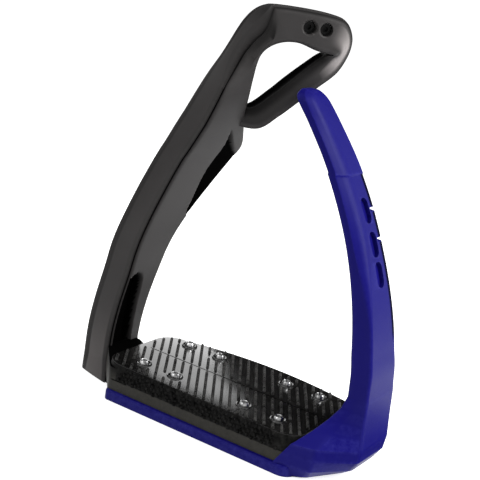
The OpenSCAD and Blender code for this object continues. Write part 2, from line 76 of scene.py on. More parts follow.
def ease(t):
    t = min(max(t, 0), 1)
    return t * t * (3 - 2 * t)


def rise(v, start, span):
    # 0 up to start, 1 once v is a span past it
    return ease((v - start) / span)


def swell(v, size, start, span):
    return size * rise(v, start, span)


def hump(v, up, down):
    # comes in over one pair and goes out over the other
    return rise(v, *up) * (1 - rise(v, *down))


def spread(a, b, count):
    return [a + (b - a) * i / (count - 1) for i in range(count)]


def easedCorner(p, c, q, radius, share, steps):
    # points of the corner c between p and q, eased over its radius or a share of its sides
    a = c + (p - c).normalized() * min(radius, (p - c).length * share)
    b = c + (q - c).normalized() * min(radius, (q - c).length * share)
    return [(1 - t)**2 * a + 2 * t * (1 - t) * c + t * t * b for t in spread(0, 1, steps + 1)]


def roundCorners(corners, radii, steps):
    # closed outline with each corner eased over its own radius
    c = [Vector(p) for p in corners]
    ring = []
    for i, radius in enumerate(radii):
        ring += easedCorner(c[i - 1], c[i], c[(i + 1) % len(c)], radius, making["roundShare"], steps)
    return ring


def only(geom, kind):
    return [g for g in geom if isinstance(g, kind)]


def shadeLayer(bm):
    # painted shade of a point: 1 in sunk places painted dark, below 0 where painted light pales the skin
    return bm.verts.layers.float.get("shade") or bm.verts.layers.float.new("shade")


def loft(bm, rings):
    # the first ring is drawn, the others are pulled out of it one after another
    # a point is x, y, z and, where it has one, its painted shade (below 0, painted light)
    layer = shadeLayer(bm)
    loop = [bm.verts.new(tuple(p)[:3]) for p in rings[0]]
    edges = [bm.edges.new((loop[i - 1], loop[i])) for i in range(len(loop))]
    bm.faces.new(loop)
    for ring in rings:
        if ring is not rings[0]:
            order = {v: i for i, v in enumerate(loop)}
            made = bmesh.ops.extrude_edge_only(bm, edges=edges)["geom"]
            fresh = set(only(made, bmesh.types.BMVert))
            edges = [e for e in only(made, bmesh.types.BMEdge) if set(e.verts) <= fresh]
            loop = [None] * len(order)
            for v in fresh:
                for e in v.link_edges:
                    if e.other_vert(v) in order:
                        loop[order[e.other_vert(v)]] = v
        for v, p in zip(loop, ring):
            v.co = tuple(p)[:3]
            v[layer] = p[3] if len(p) > 3 else 0
    bm.faces.new(loop)


def slab(bm, outline, low, high):
    # flat outline pulled up into a plate; gives back its top face
    foot = bm.faces.new([bm.verts.new((x, y, low)) for x, y in outline])
    made = bmesh.ops.extrude_face_region(bm, geom=[foot])["geom"]
    bmesh.ops.translate(bm, verts=only(made, bmesh.types.BMVert), vec=(0, 0, high - low))
    return only(made, bmesh.types.BMFace)[0]


def block(bm, size):
    made = bmesh.ops.create_cube(bm, size=1)["verts"]
    bmesh.ops.scale(bm, verts=made, vec=size)
    return made


def easeEdges(bm, edges, size, segments):
    return bmesh.ops.bevel(bm, geom=list(edges), offset=size, segments=segments, profile=0.5,
                           affect="EDGES", material=-1)["verts"]


def turnProfile(bm, x, y, z, profile, steps):
    # profile of radius and height, spun round an upright axis
    line = [bm.verts.new((x + r, y, z + h)) for r, h in profile]
    edges = [bm.edges.new(pair) for pair in zip(line, line[1:])]
    bmesh.ops.spin(bm, geom=line + edges, cent=(x, y, 0), axis=(0, 0, 1), angle=2 * pi, steps=steps,
                   use_merge=True, use_duplicate=False)


def addBore(bm, radii, depth, sides, place):
    bmesh.ops.create_cone(bm, cap_ends=True, segments=sides, radius1=radii[0], radius2=radii[1],
                          depth=depth, matrix=place)


def addObject(name, data):
    made = bpy.data.objects.new(name, data)
    bpy.context.scene.collection.objects.link(made)
    return made


def addMesh(name, bm):
    mesh = bpy.data.meshes.new(name)
    bm.to_mesh(mesh)
    bm.free()
    return addObject(name, mesh)


def markWearAndGlint(bm):
    # how far each point stands on an outer edge, for the edge wear and painted edge highlights in the
    # materials
    layer = bm.verts.layers.float.new("wearAndGlint")
    for v in bm.verts:
        turn = [e.calc_face_angle_signed(0) for e in v.link_edges if len(e.link_faces) == 2]
        v[layer] = min(max(sum(turn) / making["fullEdgeTurn"], 0), 1)


def finish(bm, name, materials, body, stands=(), sharp=38, paintedShadeSlot=None):
    # welds and smooths a piece, marks its edge wear and painted edge highlights,
    # gives faces with strong painted shade a darker, duller copy of the material and puts the piece on its
    # body
    bmesh.ops.remove_doubles(bm, verts=bm.verts[:], dist=making["weld"])
    bmesh.ops.recalc_face_normals(bm, faces=bm.faces[:])
    bmesh.ops.scale(bm, verts=bm.verts[:], vec=(mm, mm, mm))
    for e in bm.edges:
        e.smooth = len(e.link_faces) == 2 and e.calc_face_angle(0) < radians(sharp)
    for f in bm.faces:
        f.smooth = True
    markWearAndGlint(bm)
    layer = shadeLayer(bm)
    for f in bm.faces:
        if paintedShadeSlot and sum(v[layer] for v in f.verts) > making["paintedShadeLimit"] * len(f.verts):
            f.material_index = paintedShadeSlot
    piece = addMesh(name, bm)
    for material in materials:
        piece.data.materials.append(material)
    if body:
        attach(piece, body)
    if stands:
        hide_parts(*stands)
    return piece


def carve(bm, other, how="DIFFERENCE"):
    # cuts or joins two closed shapes and gives back one bmesh
    pair = []
    for part in (bm, other):
        bmesh.ops.remove_doubles(part, verts=part.verts[:], dist=making["carveWeld"])
        bmesh.ops.recalc_face_normals(part, faces=part.faces[:])
        pair.append(addMesh("carving", part))
    step = pair[0].modifiers.new("carving", "BOOLEAN")
    step.operation = how
    step.solver = "EXACT"
    step.object = pair[1]
    step.use_self = how == "DIFFERENCE"
    bpy.context.view_layer.update()
    done = pair[0].evaluated_get(bpy.context.evaluated_depsgraph_get())
    out = bmesh.new()
    out.from_mesh(done.to_mesh())
    done.to_mesh_clear()
    for o in pair:
        mesh = o.data
        bpy.data.objects.remove(o)
        bpy.data.meshes.remove(mesh)
    return out


def darken(bm):
    # a darkened cutter paints shade on the walls it leaves
    layer = shadeLayer(bm)
    for v in bm.verts:
        v[layer] = 1


# materials

def newGroup(name, inputs, outputs):
    # inputs with no value are vectors, all the others are numbers
    group = bpy.data.node_groups.new(name, "ShaderNodeTree")
    for label, value in inputs.items():
        kind = "NodeSocketVector" if value is None else "NodeSocketFloat"
        socket = group.interface.new_socket(name=label, in_out="INPUT", socket_type=kind)
        if value is not None:
            socket.default_value = value
    for label in outputs:
        group.interface.new_socket(name=label, in_out="OUTPUT", socket_type="NodeSocketFloat")
    return group, group.nodes.new("NodeGroupInput"), group.nodes.new("NodeGroupOutput")


def addNode(tree, kind, **values):
    node = tree.nodes.new(kind)
    for key, value in values.items():
        if hasattr(node, key):
            setattr(node, key, value)
        else:
            node.inputs[key.replace("_", " ")].default_value = value
    return node


def wire(tree, source, out, target, into):
    tree.links.new(source.outputs[out], target.inputs[into])


def mixIn(tree, before, factor, out, kind, value):
    # mixes a fixed value into what comes before it
    node = addNode(tree, "ShaderNodeMix", data_type=kind, B=value)
    wire(tree, before, "Result", node, "A")
    wire(tree, factor, out, node, "Factor")
    return node


def buildGrainGroup():
    # fine moulded grain, and broad patches where the skin is a little duller
    group, start, end = newGroup("mouldGrain", {"Vector": None, "Grain Scale": 2600.0, "Patch Scale": 45.0},
                                 ("Grain", "Patch"))
    grain = addNode(group, "ShaderNodeTexNoise", Detail=3.0, Roughness=0.6)
    patch = addNode(group, "ShaderNodeTexNoise", Detail=5.0, Roughness=0.55, Distortion=0.4)
    for noise, label in ((grain, "Grain"), (patch, "Patch")):
        wire(group, start, "Vector", noise, "Vector")
        wire(group, start, label + " Scale", noise, "Scale")
        wire(group, noise, "Fac", end, label)
    return group


def buildWearGlintGroup():
    # rubbed edges with painted highlights: the mark on the mesh, broken up by noise
    group, start, end = newGroup("rubbedEdgeAndGlint", {"Vector": None, "WearAndGlint": 0.0, "Amount": 0.5}, ("Mask",))
    noise = addNode(group, "ShaderNodeTexNoise", Scale=420.0, Detail=4.0, Roughness=0.7)
    span = addNode(group, "ShaderNodeMapRange", From_Min=0.35, From_Max=0.7)
    broken = addNode(group, "ShaderNodeMath", operation="MULTIPLY")
    scaled = addNode(group, "ShaderNodeMath", operation="MULTIPLY")
    wire(group, start, "Vector", noise, "Vector")
    wire(group, noise, "Fac", span, "Value")
    wire(group, span, "Result", broken, 0)
    wire(group, start, "WearAndGlint", broken, 1)
    wire(group, broken, "Value", scaled, 0)
    wire(group, start, "Amount", scaled, 1)
    wire(group, scaled, "Value", end, "Mask")
    return group


grainGroup = buildGrainGroup()
wearGlintGroup = buildWearGlintGroup()
skinPlan = {"paintedShadeTone": 0.05, "paintedShadeRough": 0.95, "reliefHeight": 0.0002}


def skinMaterial(name, plan):
    # moulded or machined skin: two close tones, rubbed edges with painted highlights, grain in gloss and
    # relief the mesh's painted shade darkens and dulls it, and below zero its painted light blends it to a
    # pale tone
    mat = bpy.data.materials.new(name)
    mat.use_nodes = True
    tree = mat.node_tree
    shader = tree.nodes["Principled BSDF"]
    shader.inputs["Metallic"].default_value = plan.get("metal", 0.0)
    shader.inputs["Specular IOR Level"].default_value = plan.get("specular", 0.5)
    where = addNode(tree, "ShaderNodeTexCoord")
    turn = addNode(tree, "ShaderNodeMapping", Scale=plan.get("stretch", (1, 1, 1)))
    grain = addNode(tree, "ShaderNodeGroup", node_tree=grainGroup,
                    Grain_Scale=plan["grain"], Patch_Scale=plan["patch"])
    wearAndGlint = addNode(tree, "ShaderNodeGroup", node_tree=wearGlintGroup, Amount=plan["wearAndGlint"])
    marked = addNode(tree, "ShaderNodeAttribute", attribute_name="wearAndGlint")
    shade = addNode(tree, "ShaderNodeAttribute", attribute_name="shade")
    wire(tree, where, "Object", turn, "Vector")
    wire(tree, turn, "Vector", grain, "Vector")
    wire(tree, where, "Object", wearAndGlint, "Vector")
    wire(tree, marked, "Fac", wearAndGlint, "WearAndGlint")
    # colour: two tones, then painted light, then edge wear and painted edge highlights, then painted shade in
    # sunk places
    tone = addNode(tree, "ShaderNodeMix", data_type="RGBA", A=(*plan["colour"], 1), B=(*plan["second"], 1))
    wire(tree, grain, "Patch", tone, "Factor")
    paintedLight = addNode(tree, "ShaderNodeMapRange", From_Min=0.0, From_Max=-1.0)
    wire(tree, shade, "Fac", paintedLight, "Value")
    paintedLightTone = mixIn(tree, tone, paintedLight, "Result", "RGBA", (*plan.get("paintedLightTone", plan["colour"]), 1))
    wearAndHighlight = mixIn(tree, paintedLightTone, wearAndGlint, "Mask", "RGBA", (*plan["wornAndGlint"], 1))
    paintedShadeColour = [c * skinPlan["paintedShadeTone"] for c in plan["colour"]]
    sunk = mixIn(tree, wearAndHighlight, shade, "Fac", "RGBA", (*paintedShadeColour, 1))
    wire(tree, sunk, "Result", shader, "Base Color")
    # gloss and relief
    gloss = addNode(tree, "ShaderNodeMapRange", To_Min=plan["rough"][0], To_Max=plan["rough"][1])
    wire(tree, grain, "Patch", gloss, "Value")
    dull = mixIn(tree, gloss, shade, "Fac", "FLOAT", skinPlan["paintedShadeRough"])
    wire(tree, dull, "Result", shader, "Roughness")
    relief = addNode(tree, "ShaderNodeBump", Strength=plan["relief"], Distance=skinPlan["reliefHeight"])
    wire(tree, grain, "Grain", relief, "Height")
    wire(tree, relief, "Normal", shader, "Normal")
    return mat


finishes = {
    # its pale tone is painted light on the arm's front face, most at the foot, and a painted highlight on the
    # eye's far end
    "framePolymer": {"colour": (0.028, 0.0262, 0.0262), "second": (0.043, 0.0402, 0.040),
                     "wornAndGlint": (0.07, 0.066, 0.064), "paintedLightTone": (0.38, 0.352, 0.345), "rough": (0.36, 0.46),
                     "specular": 0.13, "grain": 2600, "patch": 40, "wearAndGlint": 0.35, "relief": 0.16},
    # darker, duller copy of the frame polymer for faces with strong painted shade
    "paintedShadePolymer": {"colour": (0.0040, 0.0038, 0.0037), "second": (0.0060, 0.0056, 0.0054),
                    "wornAndGlint": (0.02, 0.019, 0.018), "rough": (0.7, 0.8),
                    "specular": 0.02, "grain": 2600, "patch": 40, "wearAndGlint": 0.2, "relief": 0.16},
    "footBand": {"colour": (0.009, 0.0084, 0.0066), "second": (0.014, 0.0128, 0.0096),
                 "wornAndGlint": (0.05, 0.046, 0.036), "rough": (0.45, 0.6),
                 "specular": 0.2, "grain": 2200, "patch": 60, "wearAndGlint": 0.3, "relief": 0.2},
    "treadPolymer": {"colour": (0.0025, 0.0025, 0.0025), "second": (0.0045, 0.0044, 0.0043),
                     "wornAndGlint": (0.05, 0.048, 0.046), "rough": (0.12, 0.19),
                     "specular": 0.9, "grain": 3000, "patch": 70, "wearAndGlint": 0.4, "relief": 0.08},
    # the pale worn tone on the crests of the teeth is a painted highlight
    "treadTeeth": {"colour": (0.0015, 0.0015, 0.0015), "second": (0.003, 0.003, 0.003),
                   "wornAndGlint": (0.2, 0.196, 0.19), "rough": (0.5, 0.65),
                   "specular": 0.04, "grain": 3000, "patch": 120, "wearAndGlint": 0.5, "relief": 0.2},
    "treadSkirt": {"colour": (0.0012, 0.0012, 0.0012), "second": (0.0025, 0.0025, 0.0025),
                   "wornAndGlint": (0.05, 0.049, 0.047), "rough": (0.5, 0.65),
                   "specular": 0.03, "grain": 3000, "patch": 120, "wearAndGlint": 0.4, "relief": 0.2},
    # the pale worn tone on its ridges is a painted highlight
    "blueMould": {"colour": (0.0050, 0.0036, 0.126), "second": (0.0072, 0.0056, 0.155),
                  "wornAndGlint": (0.06, 0.06, 0.36), "rough": (0.32, 0.42),
                  "specular": 0.07, "grain": 2400, "patch": 35, "wearAndGlint": 0.3, "relief": 0.12},
    # the near-white worn tone on the rims is a painted highlight on dark steel
    "studSteel": {"colour": (0.055, 0.055, 0.057), "second": (0.10, 0.10, 0.10),
                  "wornAndGlint": (0.92, 0.92, 0.92), "rough": (0.12, 0.22),
                  "metal": 1.0, "grain": 3500, "patch": 220, "wearAndGlint": 1.0, "relief": 0.06},
    "blackScrew": {"colour": (0.004, 0.004, 0.004), "second": (0.007, 0.007, 0.007),
                   "wornAndGlint": (0.05, 0.05, 0.05), "rough": (0.4, 0.55),
                   "specular": 0.12, "grain": 3000, "patch": 300, "wearAndGlint": 0.3, "relief": 0.1},
    "groundSteel": {"colour": (0.50, 0.51, 0.54), "second": (0.60, 0.61, 0.63),
                    "wornAndGlint": (0.75, 0.75, 0.76), "rough": (0.28, 0.42), "stretch": (1, 1, 0.06),
                    "metal": 1.0, "grain": 2400, "patch": 160, "wearAndGlint": 0.3, "relief": 0.1},
    "zincSteel": {"colour": (0.62, 0.62, 0.64), "second": (0.54, 0.55, 0.58),
                  "wornAndGlint": (0.8, 0.8, 0.8), "rough": (0.25, 0.4),
                  "metal": 1.0, "grain": 3000, "patch": 260, "wearAndGlint": 0.3, "relief": 0.08},
    "insertBrass": {"colour": (0.62, 0.43, 0.14), "second": (0.52, 0.36, 0.12),
                    "wornAndGlint": (0.8, 0.62, 0.3), "rough": (0.25, 0.38),
                    "metal": 1.0, "grain": 2600, "patch": 240, "wearAndGlint": 0.3, "relief": 0.08},
}
skin = {name: skinMaterial(name, plan) for name, plan in finishes.items()}
print("materials made:", len(skin))


# inner arm and eye: one bar that leans up from the foot, turns at the crown,
# rounds the far end of the eye and comes back to the arm
# a pair is where something starts, along the bar or across its face, and over how much it comes in;
# troughEnd is where the trough stops

arm = {"insideX": -60.2, "width": 16.0, "depth": 20.4, "lean": 58.8, "forward": 12.5, "top": 181.0,
       "rings": 176, "cornerSteps": 6, "points": (12, 46, 10, 10),  # points along each of the four sides
       "rounds": (3.8, 1.6, 3.8),  # outer front, inner back, outer back
       "roundShare": 0.42, "bulge": 0.15, "dipRim": (0.1, 0.2),
       "crease": 2.9, "groove": 0.85, "creaseMid": 0.175,
       "creaseProfile": ((0.6, 0.05), (0.33, 0.2), (0.2, 0.33), (0.05, 0.6)),  # along front and inner face
       "creaseIn": (1.6, 70, 10),  # crease drawn in below the crown: size, height %, over
       "toe": (4.6, -5.8, 9.0),  # crease drawn aside at the foot: across, front, up to this height
       "creaseShade": 1.0, "creaseWeights": (0.1, 0.7, 1, 0.8, 0.2), "cornerShade": 0.35,
       # painted light on the front face: everywhere, then extra at the foot that fades over this height %
       "paintedLight": 0.02, "footPaintedLight": (0.25, 30),
       "rows": [  # height %, lean %, forward, width, depth, turn
           (0, 0, 0, 0.99, 1.04, 0), (11, 0, 0, 0.99, 1.065, 0), (19, 3, 0, 0.99, 1.085, 0),
           (28, 9.5, 0.06, 0.99, 1.13, 0), (36, 15.5, 0.15, 1, 1.22, 1), (44, 25, 0.3, 1, 1.34, 3),
           (52.5, 37, 0.46, 1.02, 1.47, 6), (61, 50.5, 0.66, 1.03, 1.58, 9),
           (64.5, 57.5, 0.77, 1.045, 1.57, 10), (69, 65.5, 0.86, 1.075, 1.28, 11.5),
           (73, 72.6, 0.94, 1.08, 0.99, 12.2), (78, 81, 1, 1.1, 0.76, 13),
           (83, 84.5, 0.83, 1.09, 0.56, 18), (88, 88, 0.66, 1.06, 0.42, 25), (93.5, 95, 0.32, 1.09, 0.42, 27),
           (99, 100, 0.1, 0.82, 0.42, 27)],
       "hollow": {  # above the tread; rows are height, then from and to in shares of the arm's depth
           "foot": 12.0, "top": 51.5, "start": -0.25, "depth": 4.6, "wall": 2.2, "darkAt": 2.2,
           "rows": [(-0.2, 0.0, 0.72), (0.25, 0.0, 0.68), (0.75, 0.03, 0.58), (1, 0.08, 0.48)]},
       "pocket": {  # below the eye; rows are height % and distance behind the crease
           "depth": 3.0, "fade": 0.95, "wall": 0.8, "lip": 0.3, "farWall": 0.6,
           "from": [(43.2, 27.2), (45, 24.2), (48, 23), (52, 21.2), (55, 20), (58, 19.5),
                    (62, 19.6), (65, 19.6), (67, 18.7), (70.3, 16.5)],
           "to": [(61.5, 33.5), (62, 31.8), (63, 29.4), (64, 27.2), (66, 23.4), (68, 19.9), (69, 18.1),
                  (70.3, 15.8)]}}
crown = {"fromHeight": 80.0, "meet": 1.75, "rings": 34, "skew": 0.72, "skewTo": 3.35,
         "leave": (86.0, 80.0, 87.0, 80.0),  # height % at which each corner leaves the arm
         "pullOff": (36, 0, 20, 26), "pullOn": (30, 0, 14, 24),  # the crease has the valley instead
         "leadOff": 1.5, "leadOn": 0.1, "leadSteps": 9, "pathSteps": 60,
         "valley": [(-12.1, -19.8, 150.9), (-11.1, -15.8, 159.6), (-8.8, -13.2, 165.2), (-4.0, -11.9, 171.7)],
         "valleyLead": 4.0, "valleyEnd": (0.1, 0, 2), "valleyWidth": 2.8, "valleyGroove": 0.9,
         "valleyIn": (0, 0.35), "valleyOut": (0.75, 0.25), "creaseOut": (0.7, 0.3), "creaseShade": 0.8,
         "topShade": 0.62, "cornerShade": 0.25, "valleyShade": 0.75,
         "shadeIn": (0.25, 0.4), "shadeOut": (0.82, 0.18)}
eye = {"midX": -1.4, "turn": 45.0, "half": 26.0, "low": 52.0, "out": 8.1, "rings": 172,
       "round": 2.4, "barRound": 1.3, "roundTurn": (5.2, 1.6),
       "cheek": 0.36, "cheekIn": (2.4, 2), "cheekOut": (6.2, 1.6),
       "barFrom": (6.2, 1.2), "trough": 1.1, "troughEnd": (11.8, 0.5),
       "troughShade": 0.78, "troughAcross": (0.3, 0.55),
       "barShade": (0.3, 6.8, 2), "creaseShade": 0.8, "creaseOut": (4.4, 1.2),
       "topShade": 0.6, "topOut": (4.6, 1.2),
       # painted highlight on the eye's far end: strength, where it comes in and goes out, and across the face
       "endHighlight": 0.95, "endHighlightIn": (3.2, 2.4), "endHighlightOut": (6.2, 2.0), "endHighlightAcross": (0.35, 0.5), "valleyAcross": 0.34,
       "screws": (7.0, 14.0), "screwDrop": 7.4, "screwHole": 2.7, "screwSeat": 2.6, "screwPast": 1.0,
       "screwSides": 40, "rim": 0.55, "rimCone": 1.4,
       "rows": [  # step, outer edge along and below, inner edge along and below, back, front, in percent
           (0, -58, 8, -54, 29, -31, 74), (1, -37, 2, -27, 29, -37, 100), (2, 15, 1.3, 12, 27.2, -37, 100),
           (3, 62, 3, 46, 31.5, -37, 100), (4, 88.5, 7, 63, 32.5, -37, 100), (5, 101.5, 18, 72, 33, -37, 99),
           (6, 102, 32.5, 71.5, 33.6, -43, 80), (7, 90, 46.5, 60, 34.9, -62, 62),
           (8, 62, 60.6, 37, 46.2, -86, 49), (9, 34, 74.2, 13, 58.4, -99, 49),
           (10, 8, 88.4, -7, 70.4, -125, 20), (11, -16, 101.5, -32, 84.6, -185, -48),
           (12, -56, 103, -56, 85.6, -235, -125)]}


def sunkAt(h, back, depth):
    # how far the inner face is sunk at this height and distance behind the crease, and the painted shade
    # there
    hollow, pocket = arm["hollow"], arm["pocket"]
    z = h / 100 * arm["top"]
    sunk = dark = 0
    k = (z - hollow["foot"]) / (hollow["top"] - hollow["foot"])
    if hollow["start"] < k < 1:
        a, b = (readRows(hollow["rows"], max(k, hollow["rows"][0][0]), c) * depth for c in (1, 2))
        half = (b - a) / 2
        over = max(z - hollow["top"] + half, 0)  # round top
        room = (half * half - over * over)**0.5 if over < half else 0
        sunk = hollow["depth"] * ease((room - abs(back - (a + b) / 2)) / hollow["wall"])
        dark = ease(sunk / hollow["darkAt"])
    if pocket["from"][0][0] < h < pocket["from"][-1][0]:
        a = readRows(pocket["from"], h, 1)
        b = readRows(pocket["to"], h, 1) if h > pocket["to"][0][0] else 2 * depth
        fall = 1 - pocket["fade"] * ease((back - a) / max(depth - a, 1))
        inside = rise(back, a, pocket["wall"]) * ease((b + pocket["lip"] - back) / pocket["farWall"])
        sunk += pocket["depth"] * fall * inside
        dark = max(dark, inside)
    return sunk, dark


def section(corners, radii, groove, sunk=None, trough=0.0, crease=arm["crease"], shade=0.0, creaseShade=0.0,
            cornerShade=0.0, valleyShade=0.0, paintedLight=0.0, wearAndHighlight=0.0):
    # ring round four corners, each point with its painted shade, or painted light below zero
    # on the arm: outer front, crease, inner back, outer back
    # on the eye: outer back, outer front, inner front, inner back
    c = [Vector(p) for p in corners]
    mid = (c[0] + c[1] + c[2] + c[3]) / 4
    axis = (c[2] - c[0]).cross(c[3] - c[1]).normalized()

    def outward(i):
        n = (c[(i + 1) % 4] - c[i]).cross(axis).normalized()
        return n if n.dot((c[i] + c[(i + 1) % 4]) / 2 - mid) > 0 else -n

    def turned(i, r):
        return easedCorner(c[i - 1], c[i], c[(i + 1) % 4], r, arm["roundShare"], arm["cornerSteps"])

    def run(a, b, i, dip=0.0):
        n, count = outward(i), arm["points"][i]
        dips = [dip * rise(u, *arm["dipRim"]) * rise(1 - u, *arm["dipRim"]) for u in spread(0, 1, count)]
        return [a.lerp(b, u) + n * (arm["bulge"] * sin(pi * u) - d)
                for u, d in zip(spread(0, 1, count), dips)][1:-1]

    f, g = (c[0] - c[1]).normalized(), (c[2] - c[1]).normalized()
    frontEnd, innerEnd = c[1] + f * crease, c[1] + g * crease
    edge = [c[1] + f * (crease * a) + g * (crease * b) for a, b in arm["creaseProfile"]]
    edge.insert(2, c[1] + (f + g) * (crease * arm["creaseMid"] + groove))
    weights = [w if i < 3 else max(w, valleyShade) for i, w in enumerate(arm["creaseWeights"])]
    first, third, fourth = turned(0, radii[0]), turned(2, radii[1]), turned(3, radii[2])
    ring = [(*p, shade + cornerShade) for p in first]
    ring += [(*p, shade - paintedLight) for p in run(first[-1], frontEnd, 0)] + [(*frontEnd, shade)]
    ring += [(*p, creaseShade * w) for p, w in zip(edge, weights)]
    face = [innerEnd] + run(innerEnd, third[0], 1) + third
    n = outward(1)
    # painted shade in the trough and beside the valley, less where the eye's far end gets its painted
    # highlight; on the arm, painted shade in the hollow and pocket
    darkest = max(eye["troughShade"] * min(trough, 1) - shade, 0)
    for i, p in enumerate(face):
        across = i / len(face)
        deep, dark = 0, (shade + darkest * rise(across, *eye["troughAcross"])
                         - wearAndHighlight * eye["endHighlight"] * (1 - rise(across, *eye["endHighlightAcross"]))
                         + valleyShade * (1 - ease(across / eye["valleyAcross"])))
        if sunk:
            deep, dark = sunk((p - c[1]).dot(g))
        ring.append((*(p - n * deep), dark))
    ring += [(*p, max(min(trough, 1), shade)) for p in run(third[-1], fourth[0], 2, trough)]
    return ring + [(*p, shade) for p in fourth + run(fourth[-1], first[0], 3)]


def armCorners(h):
    lean, forward, width, depth, turn = (readRows(arm["rows"], h, col) for col in range(1, 6))
    w, d, a = width * arm["width"], depth * arm["depth"], radians(turn)
    x = arm["insideX"] + lean / 100 * arm["lean"]
    y = -arm["depth"] / 2 - forward * arm["forward"]
    z = h / 100 * arm["top"]
    toeX, toeY, toeTop = arm["toe"]
    aside = Vector((toeX, toeY, 0)) * (1 - ease(z / toeTop))
    aside -= Vector((swell(h, *arm["creaseIn"]), 0, 0))
    return [Vector((x + (u - w) * cos(a) + v * sin(a), y - (u - w) * sin(a) + v * cos(a), z)) + aside * k
            for u, v, k in ((0, 0, 0), (w, 0, 1), (w, d, 0), (0, d, 0))]


def eyePoint(along, drop, out):
    t = radians(eye["turn"])
    return Vector((eye["midX"] + along * cos(t) + out * sin(t), along * sin(t) - out * cos(t),
                   arm["top"] - drop))


def eyeCorner(k, i):
    v = [readRows(eye["rows"], k, c) / 100 for c in range(1, 7)]
    along, drop = v[:2] if i < 2 else v[2:4]
    out = v[4] if i in (0, 3) else v[5]
    if i == 1:
        out -= eye["cheek"] * hump(k, eye["cheekIn"], eye["cheekOut"])
    return eyePoint(along * eye["half"], drop * eye["low"], out * eye["out"])


def eyeCorners(k):
    # the outer edge lags behind the inner one where the eye leaves the crown
    top = k - crown["skew"] * (1 - rise(k, crown["meet"], crown["skewTo"] - crown["meet"]))
    return [eyeCorner(top, 0), eyeCorner(top, 1), eyeCorner(k, 2), eyeCorner(k, 3)]


def crownPath(i):
    # line of one corner from the arm over the crown to the eye, in even steps
    h, meet, steps = crown["leave"][i], crown["meet"], crown["pathSteps"]
    line = []
    if h > crown["fromHeight"]:
        line += [armCorners(v)[i] for v in spread(crown["fromHeight"], h, crown["leadSteps"])]
    p, q = armCorners(h)[i], eyeCorners(meet)[i]
    if i == 1:
        # the crease follows the floor of the valley
        stops = [armCorners(h - crown["valleyLead"])[1], p, *crown["valley"], q,
                 q + Vector(crown["valleyEnd"])]
        rows = [(0.0, *stops[0])]
        for stop in stops[1:]:
            rows.append((rows[-1][0] + (Vector(stop) - Vector(rows[-1][1:])).length, *stop))
        line += [Vector([readRows(rows, t, c) for c in (1, 2, 3)])
                 for t in spread(rows[1][0], rows[-2][0], steps)]
    else:
        leave = (p - armCorners(h - crown["leadOff"])[i]).normalized() * crown["pullOff"][i]
        arrive = (eyeCorners(meet + crown["leadOn"])[i] - q).normalized() * crown["pullOn"][i]
        line += [bend(p, leave, q, arrive, u) for u in spread(0, 1, steps)]
    far = [0.0]
    for a, b in zip(line, line[1:]):
        far.append(far[-1] + (b - a).length)
    even = []
    j = 0
    for d in spread(0, far[-1], crown["rings"]):
        while j < len(far) - 2 and far[j + 1] < d:
            j += 1
        step = far[j + 1] - far[j]
        even.append(line[j].lerp(line[j + 1], (d - far[j]) / step if step > 1e-9 else 0))
    return even


def screwAxis(along, out):
    # frame of an eye screw: its axis runs out of the front of the eye
    t = radians(eye["turn"])
    z = Vector((sin(t), -cos(t), 0))
    x = Vector((cos(t), sin(t), 0))
    m = Matrix((x, z.cross(x), z)).transposed().to_4x4()
    m.translation = eyePoint(along, eye["screwDrop"], out)
    return m


def armRings():
    footPaintedLight, paintedLightTop = arm["footPaintedLight"]
    rings = []
    for h in spread(0, crown["fromHeight"], arm["rings"]):
        c = armCorners(h)
        rings.append(section(c, arm["rounds"], arm["groove"],
                             lambda v, h=h, d=(c[2] - c[1]).length: sunkAt(h, v, d),
                             creaseShade=arm["creaseShade"], cornerShade=arm["cornerShade"],
                             paintedLight=arm["paintedLight"] + footPaintedLight * (1 - ease(h / paintedLightTop))**2))
    return rings


def crownRings():
    paths = [crownPath(i) for i in range(4)]
    rings = []
    for n in range(1, crown["rings"]):
        u = n / (crown["rings"] - 1)
        wide = hump(u, crown["valleyIn"], crown["valleyOut"])
        ending = rise(u, *crown["creaseOut"])
        rings.append(section(
            [path[n] for path in paths], [r + (eye["round"] - r) * ease(u) for r in arm["rounds"]],
            arm["groove"] * (1 + crown["valleyGroove"] * wide) * (1 - ending),
            crease=arm["crease"] + crown["valleyWidth"] * wide, creaseShade=crown["creaseShade"],
            cornerShade=arm["cornerShade"] + crown["cornerShade"] * ease(u),
            valleyShade=crown["valleyShade"] * hump(u, crown["shadeIn"], crown["shadeOut"]),
            paintedLight=arm["paintedLight"] - crown["topShade"] * ending))
    return rings


def eyeRings():
    end, span = eye["troughEnd"]
    rings = []
    for k in spread(crown["meet"], eye["rows"][-1][0], eye["rings"])[1:]:
        r = eye["round"] + (eye["barRound"] - eye["round"]) * rise(k, *eye["roundTurn"])
        lower = rise(k, *eye["barFrom"])
        rings.append(section(
            eyeCorners(k), (r, r, r), 0, trough=eye["trough"] * lower * ease((end - k) / span),
            shade=swell(k, *eye["barShade"]),
            creaseShade=eye["creaseShade"] * (1 - rise(k, *eye["creaseOut"])),
            cornerShade=eye["topShade"] * (1 - lower), paintedLight=-eye["topShade"] * (1 - rise(k, *eye["topOut"])),
            # painted highlight towards the eye's far end
            wearAndHighlight=hump(k, eye["endHighlightIn"], eye["endHighlightOut"])))
    return rings


